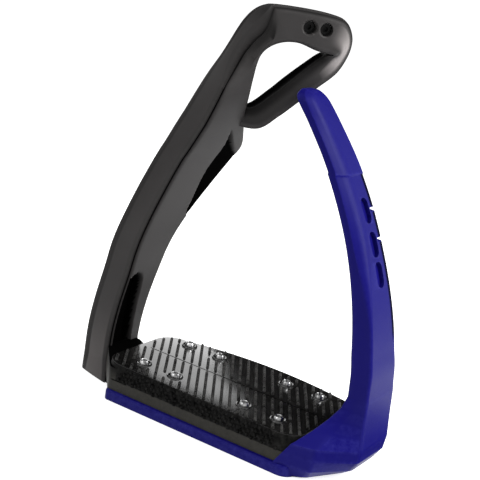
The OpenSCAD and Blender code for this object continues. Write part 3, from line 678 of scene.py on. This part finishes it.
def buildArm():
    bar = bmesh.new()
    loft(bar, armRings() + crownRings() + eyeRings())
    holes = bmesh.new()
    hole, seat, cone, sides = (eye[k] for k in ("screwHole", "screwSeat", "rimCone", "screwSides"))
    deep = eye["out"] + eye["screwPast"] - seat
    for along in eye["screws"]:
        addBore(holes, (hole, hole), deep, sides, screwAxis(along, seat + deep / 2))
        rim = screwAxis(along, eye["out"] - eye["rim"] + cone / 2)
        addBore(holes, (hole, hole + cone), cone, sides, rim)
    # painted shade on the walls of the eye screw bores
    darken(holes)
    materials = [skin["framePolymer"], skin["paintedShadePolymer"]]
    return finish(carve(bar, holes), "innerArm", materials, "frame",
                  stands=["arm_frame"], sharp=46, paintedShadeSlot=1)


innerArm = buildArm()
print("inner arm and eye:", len(innerArm.data.polygons), "faces")


# foot: platform that carries the tread, and the fillet between it and the arm

base = {"left": -50.5, "right": 49.5, "front": -28.5, "back": 28.49, "bow": 8.0, "bowX": 6.5, "half": 50.0,
        "endRound": 10.0, "cornerRound": 6.0, "panTop": 5.0, "platformTop": 10.0, "treadTop": 17.6,
        "setBack": 0.8, "footFront": 1.0, "drawnRound": 1.6, "armHalf": 9.0,
        "endSteps": 10, "cornerSteps": 8, "bowSteps": 24, "drawnSteps": 6,
        "panEnd": {"cornerX": -46.0, "toe": (-53.0, -14.6), "armX": -60.0},
        "footEnd": {"cornerX": -46.0, "toe": (-60.3, -11.2), "armX": -62.0},
        "box": {"front": -27.5, "back": [(-36.0, 3.0), (-50.0, 4.0), (-57.5, 8.5)], "sink": 0.5, "top": 15.3},
        "gusset": {"x": (-62.0, -60.2, -54.5), "y": (4.6, 9.8), "z": (9.5, 18.5)}}


def backEdge(x, inset):
    return base["back"] - inset - base["bow"] * ((x - base["bowX"]) / base["half"])**2


def drawnEnd(end, front):
    # left end that runs from the arm along a slanted wall to the front corner
    corner, toe = Vector((end["cornerX"], front)), Vector(end["toe"])
    a = corner + (toe - corner).normalized() * base["drawnRound"]
    b = corner + Vector((base["drawnRound"], 0))
    line = [(end["armX"], base["armHalf"]), (end["armX"], -base["armHalf"]), tuple(toe)]
    return line + [tuple(a.lerp(corner, t).lerp(corner.lerp(b, t), t))
                   for t in spread(0, 1, base["drawnSteps"])]


def plateOutline(inset, corner=base["cornerRound"], front=None, end=None):
    l, r = base["left"] + inset, base["right"] - inset
    f = base["front"] + (inset if front is None else front)
    p, q = base["endRound"], corner
    endTurn, cornerTurn = (spread(0, pi / 2, base[k]) for k in ("endSteps", "cornerSteps"))
    out = drawnEnd(end, f) if end else [(l + p - p * cos(t), f + p - p * sin(t)) for t in endTurn]
    out += [(r - q + q * sin(t), f + q - q * cos(t)) for t in cornerTurn]
    out += [(r - q + q * cos(t), backEdge(r - q, inset) - q + q * sin(t)) for t in cornerTurn]
    out += [(x, backEdge(x, inset)) for x in spread(r - q, l + p, base["bowSteps"])[1:-1]]
    return out + [(l + p - p * sin(t), backEdge(l + p, inset) - p + p * cos(t)) for t in endTurn]


def rimEdges(bm, z):
    return [e for e in bm.edges
            if all(abs(v.co.z - z) < 1e-4 for v in e.verts) and e.calc_face_angle(0) > 0.5]


def buildFoot():
    bm = bmesh.new()
    layer = shadeLayer(bm)
    outline = plateOutline(base["setBack"], front=base["footFront"], end=base["footEnd"])
    slab(bm, outline, base["panTop"], base["platformTop"] - hair)
    # box between the arm and the rounded end of the tread, with painted shade on its top
    box = base["box"]
    line = drawnEnd(base["footEnd"], box["front"])
    line += [(box["back"][0][0], line[-1][1])] + box["back"]
    for v in slab(bm, line, base["platformTop"] - box["sink"], box["top"]).verts:
        v[layer] = 1
    # small gusset behind the hollow of the arm
    (x0, x1, x2), (y0, y1), (z0, z1) = (base["gusset"][k] for k in "xyz")
    curve = [(x2 - (x2 - x1) * cos(t), z1 - (z1 - z0) * sin(t)) for t in spread(pi / 2, 0, 9)]
    before = len(bm.faces)
    loft(bm, [[(x0, y, z0)] + [(x, y, z) for x, z in curve] + [(x0, y, z1)] for y in (y0, y1)])
    bm.faces.ensure_lookup_table()
    for f in bm.faces[before:]:
        f.material_index = 1
    materials = [skin["footBand"], skin["framePolymer"], skin["paintedShadePolymer"]]
    return finish(bm, "footPlatform", materials, "frame", sharp=40, paintedShadeSlot=2)


footPlatform = buildFoot()
print("foot:", len(footPlatform.data.polygons), "faces")


# tread: plate with slanted rows of teeth in two bands, a toothed front skirt and low collars round the studs

tread = {"midX": -0.5, "studX": (18.0, 35.0), "studY": 17.3, "inset": 0.1, "edge": 0.4,
         "hidden": 9.0, "skirtTo": 6.0,
         "pitch": 4.3, "turn": 32.0, "tooth": (1.35, 2.1, 0.95), "crest": (0.42, 0.7, 1), "crestRound": 0.22,
         "toothStep": 2.25, "perBand": 13, "rowsEachWay": 18, "bands": (-14.2, 12.6),
         "margin": 1.6, "cornerClear": (4, 2), "studClear": 5.5, "middleClear": 2.6,
         "grooveWidth": 0.7, "grooveDepth": 0.45, "grooveX": (-45.0, 43.0),
         "collar": ((3.7, -0.1), (3.5, 0.4), (3.1, 0.55), (2.5, 0.4), (2.4, -0.1)), "collarSteps": 28,
         "skirt": {"rows": (11.0, 12.8, 14.6, 16.3), "step": 2.3, "fromX": -40.0, "toX": 41.0, "taper": 0.2,
                   "size": (1.5, 1.6, 0.8), "setBack": 0.8, "jitter": 0.4, "sway": (2.4, 3.7)}}
studPlaces = [(tread["midX"] + s * x, t * tread["studY"])
              for x in tread["studX"] for s in (-1, 1) for t in (-1, 1)]


def onPlate(x, y, margin):
    l, r, p = base["left"] + margin, base["right"] - margin, base["endRound"]
    low, high = base["front"] + margin, backEdge(x, margin)
    if not (l < x < r and low < y < high):
        return False
    for cy, side in ((base["front"] + p + margin, -1), (backEdge(l + p, margin) - p, 1)):
        if x < l + p and (y - cy) * side > 0 and hypot(x - l - p, y - cy) > p:
            return False
    across, along = tread["cornerClear"]
    return x < r - across or low + along < y < high - along


def addTooth(bm, size, place, finishAt):
    # one tooth: a block drawn in at the top with its crest eased
    made = block(bm, size)
    bmesh.ops.translate(bm, verts=made, vec=(0, 0, size[2] / 2))
    top = [v for v in made if v.co.z > size[2] / 2]
    bmesh.ops.scale(bm, verts=top, vec=tread["crest"])
    crest = {e for v in top for e in v.link_edges if e.other_vert(v) in top}
    fresh = easeEdges(bm, crest, tread["crestRound"], 2)
    whole = [v for v in set(made) | set(fresh) if v.is_valid]
    for f in {f for v in whole for f in v.link_faces}:
        f.material_index = finishAt
    bmesh.ops.transform(bm, verts=whole, matrix=place)


def sinkGroove(bm):
    # straight groove along the middle of the plate
    half, (x0, x1) = tread["grooveWidth"] / 2, tread["grooveX"]
    cuts = [((0, half, 0), (0, 1, 0)), ((0, -half, 0), (0, 1, 0)),
            ((x0, 0, 0), (1, 0, 0)), ((x1, 0, 0), (1, 0, 0))]
    for point, normal in cuts:
        top = [f for f in bm.faces if f.normal.z > 0.9]
        geom = top + list({e for f in top for e in f.edges}) + list({v for f in top for v in f.verts})
        bmesh.ops.bisect_plane(bm, geom=geom, plane_co=point, plane_no=normal)
    strip = []
    for f in bm.faces:
        mid = f.calc_center_median()
        if f.normal.z > 0.9 and abs(mid.y) < half * 0.9 and x0 < mid.x < x1:
            strip.append(f)
    made = bmesh.ops.extrude_face_region(bm, geom=strip)["geom"]
    bmesh.ops.translate(bm, verts=only(made, bmesh.types.BMVert), vec=(0, 0, -tread["grooveDepth"]))
    bmesh.ops.delete(bm, geom=strip, context="FACES")


def addTeeth(bm):
    # slanted rows on top, with room for the studs and the groove
    t = radians(tread["turn"])
    row = Vector((-sin(t), cos(t), 0))
    count = 0
    for i in range(-tread["rowsEachWay"], tread["rowsEachWay"] + 1):
        start = Vector((tread["midX"] + i * tread["pitch"], 0, base["treadTop"] - hair))
        for band in tread["bands"]:
            for j in range(tread["perBand"]):
                p = start + row * (band / cos(t) + (j - (tread["perBand"] - 1) / 2) * tread["toothStep"])
                clear = all(hypot(p.x - x, p.y - y) > tread["studClear"] for x, y in studPlaces)
                if onPlate(p.x, p.y, tread["margin"]) and clear and abs(p.y) > tread["middleClear"]:
                    addTooth(bm, tread["tooth"], Matrix.Translation(p) @ Matrix.Rotation(t, 4, "Z"), 1)
                    count += 1
    return count


def addSkirtTeeth(bm, count):
    # uneven rows on the front, set a little aside by a fixed wave
    skirt = tread["skirt"]
    swayX, swayZ = skirt["sway"]
    for n, z in enumerate(skirt["rows"]):
        x = skirt["fromX"] + n * skirt["step"] / 2
        while x < skirt["toX"] - (z - base["platformTop"]) * skirt["taper"]:
            stray = skirt["jitter"] * Vector((sin(count * swayX), 0, sin(count * swayZ)))
            p = Vector((x, base["front"] + skirt["setBack"] + hair, z)) + stray
            addTooth(bm, skirt["size"], Matrix.Translation(p) @ Matrix.Rotation(pi / 2, 4, "X"), 2)
            x += skirt["step"]
            count += 1
    return count


def buildTread():
    bm = bmesh.new()
    outline = plateOutline(tread["inset"], tread["hidden"], tread["skirt"]["setBack"])
    slab(bm, outline, base["platformTop"], base["treadTop"])
    bm.normal_update()
    for f in bm.faces:
        f.material_index = 2 if f.normal.z < 0.5 else 0
    easeEdges(bm, rimEdges(bm, base["treadTop"]), tread["edge"], 3)
    bm.normal_update()
    for f in bm.faces:
        if f.normal.z < 0.95 and f.calc_center_median().y < tread["skirtTo"]:
            f.material_index = 2
    sinkGroove(bm)
    count = addSkirtTeeth(bm, addTeeth(bm))
    for x, y in studPlaces:
        # low black collar that the stud is screwed into
        turnProfile(bm, x, y, base["treadTop"], tread["collar"], tread["collarSteps"])
    print("tread teeth:", count)
    materials = [skin["treadPolymer"], skin["treadTeeth"], skin["treadSkirt"]]
    return finish(bm, "treadPlate", materials, "frame", stands=["tread_plate"], sharp=34)


treadPlate = buildTread()
print("tread:", len(treadPlate.data.polygons), "faces")


# studs: dark steel cup points with painted highlights on their rims

stud = {"profile": [(0, 0.2), (0.6, 0.26), (1.0, 0.7), (1.32, 1.4), (1.5, 1.72), (1.72, 1.7),
                    (1.98, 1.25), (2.2, 0.65), (2.26, 0.45), (2.26, 0.02), (2.0, 0.0),
                    (1.95, -4.3), (0, -4.4)], "steps": 32}


def buildStuds():
    bm = bmesh.new()
    for x, y in studPlaces:
        turnProfile(bm, x, y, base["treadTop"], stud["profile"], stud["steps"])
    return finish(bm, "treadStuds", [skin["studSteel"]], "frame",
                  stands=["tread_studs"], sharp=50)


treadStuds = buildStuds()
print("studs:", len(treadStuds.data.polygons), "faces")


# blue underbody: pan, flared root and springy outer arm in one moulding

blue = {"insideX": 60.2, "thick": 8.8, "depth": 24.0, "bendZ": 36.0, "tipX": 15.6, "tipZ": 150.0,
        "backShare": 0.62, "seat": 0.42, "lowest": 0.05, "rings": 138,
        "tipRun": 5.0, "tipRound": 4.5, "tipDraw": 0.42,
        "panFront": -0.2, "panFoot": 0.3, "panStep": 1.1,
        # outer face: how far it stands out, and how far the inner face moves with it, as size, height, over
        "standOut": 0.6, "more": (0.9, 36, 16), "less": (0.5, 100, 40), "innerMove": (1.0, 60, 40),
        "step": {"z": 121.0, "depth": 0.5, "edge": 0.8, "fade": (44, 10)},
        # front edge: crisp low down, rounded towards the tip
        "edge": {"chamfer": 2.6, "crisp": 0.3, "more": 1.4, "soft": (62, 48),
                 "tip": (0.5, 130, 20), "most": 0.9},
        "backStrip": (3.1, 2.4), "stripRound": 0.1, "backRound": 1.6, "rootToArm": (24, 20), "cornerSteps": 7,
        "rootRound": (0.5, 0.6, 1.2, 0.6, 0.6), "armRound": (1.0, 1.6, 1.4, 3.2, 3.6),
        "darkRim": {"from": (56.0, 6), "top": 121.0, "end": 0.6, "shade": 0.95, "corner": 6, "points": 11},
        "rows": [  # outer arm from bend to tip: height %, lean %, thickness, depth
            (0, 0, 1, 1), (12.5, 4.2, 0.95, 0.91), (25.5, 10.3, 0.9, 0.855), (38.5, 19.4, 0.85, 0.82),
            (52, 31.6, 0.81, 0.79), (65, 45.5, 0.81, 0.765), (78, 62.4, 0.85, 0.71), (89.5, 81, 0.9, 0.64),
            (97.5, 95.5, 0.92, 0.57), (100, 100, 0.7, 0.46)],
        "rootRows": [  # height, seat corner, front corner, shoulder, outer corner, each across and front
            (0.0, 50.2, -19.0, 46.0, -27.0, 52.6, -21.6, 60.4, -4.0),
            (1.2, 50.2, -20.0, 44.0, -27.9, 54.2, -23.2, 63.0, -6.0),
            (5.0, 50.2, -21.5, 40.8, -28.55, 56.2, -25.2, 67.4, -9.6),
            (10.0, 50.2, -21.2, 44.0, -28.5, 57.2, -25.4, 70.4, -11.6),
            (15.4, 50.2, -20.5, 47.5, -28.3, 57.6, -25.0, 71.0, -12.0),
            (16.2, 50.2, -20.0, 48.4, -27.2, 57.8, -24.0, 71.0, -12.0),
            (21.0, 53.0, -17.5, 52.6, -21.8, 59.2, -18.4, 70.6, -12.0),
            (26.0, 56.6, -13.0, 56.2, -16.8, 61.0, -14.8, 70.2, -12.0),
            (31.0, 59.2, -9.5, 59.0, -13.4, 63.0, -12.7, 69.9, -12.0),
            (36.0, 60.2, -5.0, 60.2, -12.0, 64.6, -12.0, 69.6, -12.0)],
        "recess": {"heights": (42.4, 52.3, 63.2), "length": 10.6, "width": 5.6, "depth": 1.8, "aside": 1.9,
                   "block": 4.0, "round": 0.49, "span": 4},
        "notch": {"heights": (53.4, 63.1), "size": (6.4, 8.0, 1.5)},
        "boreSides": 32,
        "soleScrews": {"x": (-27.5, 6.25), "y": (-9.0, 9.0), "radii": (3.95, 2.25), "depth": 2.2, "z": 1.09},
        "clampBores": {"x": (29.75, 42.25), "y": (0.0,), "radii": (3.95, 3.95), "depth": 4.0, "z": 1.0}}


def armHeight(h):
    return blue["bendZ"] + h / 100 * (blue["tipZ"] - blue["bendZ"])


def armShare(z):
    return (z - blue["bendZ"]) / (blue["tipZ"] - blue["bendZ"]) * 100


def reach(z):
    # how far the outer face stands out, and how far the inner face has moved with it
    return blue["standOut"] + swell(z, *blue["more"]) - swell(z, *blue["less"]), swell(z, *blue["innerMove"])


def outerFace(h):
    outer, step = blue["insideX"] + blue["thick"], blue["step"]
    z = armHeight(h)
    return (outer - readRows(blue["rows"], h, 1) / 100 * (outer - blue["tipX"]) + reach(z)[0]
            - step["depth"] * ease((step["z"] - z) / step["edge"]) * rise(z, *step["fade"]))


def blueCorners(z):
    # seat corner, front corner, shoulder, outer corner, and the same along the back
    half = blue["depth"] / 2
    if z <= blue["bendZ"]:
        rows = blue["rootRows"]
        n = max(i for i in range(len(rows) - 1) if rows[i][0] <= z)
        u = (z - rows[n][0]) / (rows[n + 1][0] - rows[n][0])
        v = [a + (b - a) * u for a, b in zip(rows[n], rows[n + 1])]
        frontSide = [(v[i], v[i + 1]) for i in (1, 3, 5, 7)]
        return frontSide, [(x, -y if -y < half else half + (-y - half) * blue["backShare"])
                           for x, y in frontSide]
    h = armShare(z)
    face, (out, move) = outerFace(h), reach(z)
    t, d = readRows(blue["rows"], h, 2) * blue["thick"] + out - move, readRows(blue["rows"], h, 3) * half
    frontSide = [(face - t, -d * blue["seat"]), (face - t, -d), (face - t / 2, -d), (face, -d)]
    return frontSide, [(x, -y) for x, y in frontSide]


def blueRing(z):
    frontSide, backSide = blueCorners(z)
    edge, rim, steps = blue["edge"], blue["darkRim"], blue["cornerSteps"]
    b, c, e = Vector(frontSide[2]), Vector(frontSide[3]), Vector(backSide[3])
    soft = rise(z, *edge["soft"])
    cut = edge["chamfer"] * (edge["crisp"] + edge["more"] * soft - swell(z, *edge["tip"]))
    back = (c - e).normalized()
    side = [c + (b - c).normalized() * min(cut, (b - c).length * edge["most"]), c - back * cut]
    side += [e + back * size for size in blue["backStrip"]]
    mix = rise(z, *blue["rootToArm"])
    r = [p + (q - p) * m for p, q, m in zip(blue["rootRound"], blue["armRound"], (mix, mix, mix, soft, soft))]
    radii = r + [blue["stripRound"], blue["stripRound"], blue["backRound"], r[2], r[1], r[0]]
    ring = roundCorners(frontSide[:3] + side + backSide[::-1], radii, steps)
    tip = max((z - blue["tipZ"] + blue["tipRound"]) / blue["tipRound"], 0)
    draw = 1 - blue["tipDraw"] * (1 - (1 - min(tip, 1)**2)**0.5)
    mid = (Vector(frontSide[0]) + c + Vector(backSide[0]) + e) / 4
    # darkens a strip along the far edge of the outer face, below the step
    dark = rim["shade"] * rise(z, *rim["from"]) * ease((rim["top"] - z) / rim["end"])
    first = rim["corner"] * (steps + 1)
    return [(*(mid + (v - mid) * draw), z, dark if first <= i < first + rim["points"] else 0)
            for i, v in enumerate(ring)]


def cutRecesses(cuts):
    # three oblong recesses square to the outer face, and two slits through its far edge
    recess, notch = blue["recess"], blue["notch"]
    for h in recess["heights"]:
        low, high = h - recess["span"], h + recess["span"]
        run = Vector((outerFace(high) - outerFace(low), 0, armHeight(high) - armHeight(low))).normalized()
        m = Matrix((Vector((run.z, 0, -run.x)), Vector((0, 1, 0)), run)).transposed().to_4x4()
        sink = recess["block"] / 2 - recess["depth"]
        m.translation = Vector((outerFace(h), recess["aside"], armHeight(h))) + m.col[0].to_3d() * sink
        made = block(cuts, (recess["block"], recess["width"], recess["length"]))
        ends = {e for v in made for e in v.link_edges
                if abs(e.verts[0].co.x - e.verts[1].co.x) > recess["block"] / 2}
        fresh = easeEdges(cuts, ends, recess["width"] * recess["round"], 6)
        bmesh.ops.transform(cuts, verts=[v for v in set(made) | set(fresh) if v.is_valid], matrix=m)
    for h in notch["heights"]:
        farEdge = readRows(blue["rows"], h, 3) * blue["depth"] / 2
        bmesh.ops.translate(cuts, verts=block(cuts, notch["size"]), vec=(outerFace(h), farEdge, armHeight(h)))


def buildBlue():
    stem = bmesh.new()
    heights = [row[0] for row in blue["rootRows"]]
    levels = [z for a, b in zip(heights, heights[1:]) for z in spread(max(a, blue["lowest"]), b, 5)[:-1]]
    levels += spread(blue["bendZ"], blue["tipZ"] - blue["tipRun"], blue["rings"])
    levels += [blue["tipZ"] - blue["tipRun"] * (1 - u)**2 for u in spread(0, 1, 10)[1:]]
    loft(stem, [blueRing(z) for z in levels])
    pan = bmesh.new()
    panTop = base["panTop"] - hair
    slab(pan, plateOutline(0, front=blue["panFront"], end=base["panEnd"]), 0, panTop)
    for z, size in ((0, blue["panFoot"]), (panTop, blue["panStep"])):
        easeEdges(pan, rimEdges(pan, z), size, 2)
    cuts = bmesh.new()
    cutRecesses(cuts)
    for bore in (blue["soleScrews"], blue["clampBores"]):
        for x in bore["x"]:
            for y in bore["y"]:
                place = Matrix.Translation((x, y, bore["z"]))
                addBore(cuts, bore["radii"], bore["depth"], blue["boreSides"], place)
    # painted shade on the walls of the recesses, slits and bores
    darken(cuts)
    whole = carve(carve(stem, pan, "UNION"), cuts)
    piece = finish(whole, "blueMoulding", [skin["blueMould"]], None,
                   stands=["sole_pan", "outer_arm"], sharp=20)
    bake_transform(piece)
    return piece


blueMoulding = buildBlue()
print("blue moulding:", len(blueMoulding.data.polygons), "faces")


# spring blade inside the outer arm, following its curve

blade = {"startX": 22.0, "midZ": 5.6, "bend": 9.0, "thick": 1.2, "width": 11.0,
         "riseFrom": 17, "reach": 74.0, "short": 3, "steps": (12, 9, 40)}


def buildBlade():
    lowX = blue["insideX"] + blue["thick"] / 2 - blade["bend"]
    flatSteps, bendSteps, armSteps = blade["steps"]
    line = [(x, blade["midZ"]) for x in spread(blade["startX"], lowX, flatSteps)]
    line += [(lowX + blade["bend"] * sin(t), blade["midZ"] + blade["bend"] * (1 - cos(t)))
             for t in spread(0, pi / 2, bendSteps)[1:]]
    for z in spread(blade["riseFrom"], blue["bendZ"] + blade["reach"] - blade["short"], armSteps):
        h = max(armShare(z), 0)
        line.append((outerFace(h) - reach(z)[0] - readRows(blue["rows"], h, 2) * blue["thick"] / 2, z))
    w = blade["width"] / 2
    rings = []
    for i, (x, z) in enumerate(line):
        a, b = line[max(i - 1, 0)], line[min(i + 1, len(line) - 1)]
        n = Vector((a[1] - b[1], b[0] - a[0])).normalized() * blade["thick"] / 2
        rings.append([(x + s * n.x, t * w, z + s * n.y) for s, t in ((-1, -1), (1, -1), (1, 1), (-1, 1))])
    bm = bmesh.new()
    loft(bm, rings)
    piece = finish(bm, "springBlade", [skin["groundSteel"]], None, stands=["spring_blade"])
    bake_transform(piece)
    return piece


springBlade = buildBlade()
print("spring blade:", len(springBlade.data.polygons), "faces")


# metal pieces whose solids are right keep them and get their finish

metalNodes = {"blade_clamp": "groundSteel", "clamp_screws": "zincSteel", "clamp_inserts": "insertBrass",
              "sole_screws": "zincSteel", "sole_inserts": "insertBrass", "eye_core": "groundSteel",
              "eye_screws": "blackScrew"}
for node, finishName in metalNodes.items():
    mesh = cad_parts[node].data
    mesh.materials.clear()
    mesh.materials.append(skin[finishName])
print("metal pieces finished:", len(metalNodes))


# stage, light and camera

studio = {"floor": (0.9, 0.9, 0.9), "floorHalf": 4, "floorDrop": 0.0002, "floorRough": 0.9, "floorShine": 0.8,
          "worldLevel": 0.3,
          "lamps": [  # name, place, size, power
              ("sideBox", (0.64, 0.10, 0.80), 0.45, 7.0), ("frontBox", (-0.35, -0.85, 0.60), 0.6, 1.3),
              ("topBox", (0.30, -0.25, 0.75), 0.6, 1.1), ("cardBox", (-0.36, 0.31, 0.20), 0.40, 0.5),
              ("endBox", (0.70, 0.30, 0.42), 0.30, 2.4)],
          "aim": (0.0, 0.0, 0.07),
          "flag": (0.01, 0.01, 0.01),
          "flags": [  # two far corners of each dark card: two upright behind the object, the others flat
              ((-0.185, 0.30, 0.0), (0.09, 0.30, 0.28)), ((-0.7, 0.30, 0.28), (0.09, 0.30, 0.8)),
              ((-0.9, 0.05, 0.0005), (-0.03, 0.9, 0.0005)), ((-0.9, -0.25, 0.0005), (-0.2, 0.05, 0.0005)),
              ((0.13, 0.26, 0.0005), (0.215, 0.9, 0.0005)), ((0.071, -0.08, 0.0005), (0.118, 0.075, 0.0005))]}


def dullMaterial(name, colour):
    mat = bpy.data.materials.new(name)
    mat.use_nodes = True
    shader = mat.node_tree.nodes["Principled BSDF"]
    shader.inputs["Base Color"].default_value = (*colour, 1)
    shader.inputs["Specular IOR Level"].default_value = 0.0
    return mat


def backdropRays(tree):
    # rays that see the white backdrop: camera, glossy and transmission
    rays = addNode(tree, "ShaderNodeLightPath")
    seen = addNode(tree, "ShaderNodeMath", operation="ADD", use_clamp=True)
    shown = addNode(tree, "ShaderNodeMath", operation="ADD", use_clamp=True)
    wire(tree, rays, "Is Camera Ray", seen, 0)
    wire(tree, rays, "Is Glossy Ray", seen, 1)
    wire(tree, seen, "Value", shown, 0)
    wire(tree, rays, "Is Transmission Ray", shown, 1)
    return shown


def buildFloor():
    bm = bmesh.new()
    bmesh.ops.create_grid(bm, x_segments=1, y_segments=1, size=studio["floorHalf"])
    bmesh.ops.translate(bm, verts=bm.verts[:], vec=(0, 0, -studio["floorDrop"]))
    floor = addMesh("floor", bm)
    mat = dullMaterial("paleFloor", studio["floor"])
    tree = mat.node_tree
    shader = tree.nodes["Principled BSDF"]
    shader.inputs["Roughness"].default_value = studio["floorRough"]
    shine = addNode(tree, "ShaderNodeMath", operation="MULTIPLY")
    shine.inputs[1].default_value = studio["floorShine"]
    wire(tree, backdropRays(tree), "Value", shine, 0)
    shader.inputs["Emission Color"].default_value = (1, 1, 1, 1)
    wire(tree, shine, "Value", shader, "Emission Strength")
    floor.data.materials.append(mat)


def buildWorld():
    world = bpy.data.worlds.new("studio")
    bpy.context.scene.world = world
    world.use_nodes = True
    tree = world.node_tree
    back = tree.nodes["Background"]
    back.inputs["Color"].default_value = (1, 1, 1, 1)
    level = addNode(tree, "ShaderNodeMapRange", To_Min=studio["worldLevel"], To_Max=1.0)
    wire(tree, backdropRays(tree), "Value", level, "Value")
    wire(tree, level, "Result", back, "Strength")


def buildFlags():
    # dark cards, seen in reflections alone
    bm = bmesh.new()
    for (x0, y0, z0), (x1, y1, z1) in studio["flags"]:
        bm.faces.new([bm.verts.new(v) for v in ((x0, y0, z0), (x1, y0, z0), (x1, y1, z1), (x0, y1, z1))])
    flags = addMesh("flags", bm)
    flags.data.materials.append(dullMaterial("flagCloth", studio["flag"]))
    flags.visible_camera = flags.visible_diffuse = flags.visible_shadow = flags.visible_transmission = False


def hangLamps():
    for name, place, size, power in studio["lamps"]:
        lamp = bpy.data.lights.new(name, "AREA")
        lamp.shape = "SQUARE"
        lamp.size = size
        lamp.energy = power
        holder = addObject(name, lamp)
        holder.visible_camera = False
        holder.location = place
        holder.rotation_euler = (Vector(studio["aim"]) - Vector(place)).to_track_quat("-Z", "Y").to_euler()


view = {"place": (0.24306, -0.42057, 0.22122), "turn": 30.79, "tilt": 16.08, "roll": 9.26,
        "lens": 90.0, "sensor": 36.0, "clip": 0.01}


def placeCamera():
    a, e, r = (radians(view[k]) for k in ("turn", "tilt", "roll"))
    back = Vector((sin(a) * cos(e), -cos(a) * cos(e), sin(e)))
    right = Vector((cos(a), sin(a), 0))
    up = back.cross(right)
    axes = (right * cos(r) + up * sin(r), up * cos(r) - right * sin(r), back)
    lens = bpy.data.cameras.new("photoView")
    lens.lens = view["lens"]
    lens.sensor_width = view["sensor"]
    lens.clip_start = view["clip"]
    camera = addObject("photoView", lens)
    camera.matrix_world = Matrix.Translation(view["place"]) @ Matrix(axes).transposed().to_4x4()
    bpy.context.scene.camera = camera


buildFloor()
buildWorld()
buildFlags()
hangLamps()
placeCamera()
bpy.context.scene.view_settings.view_transform = "Standard"
print("stage, light and camera set")
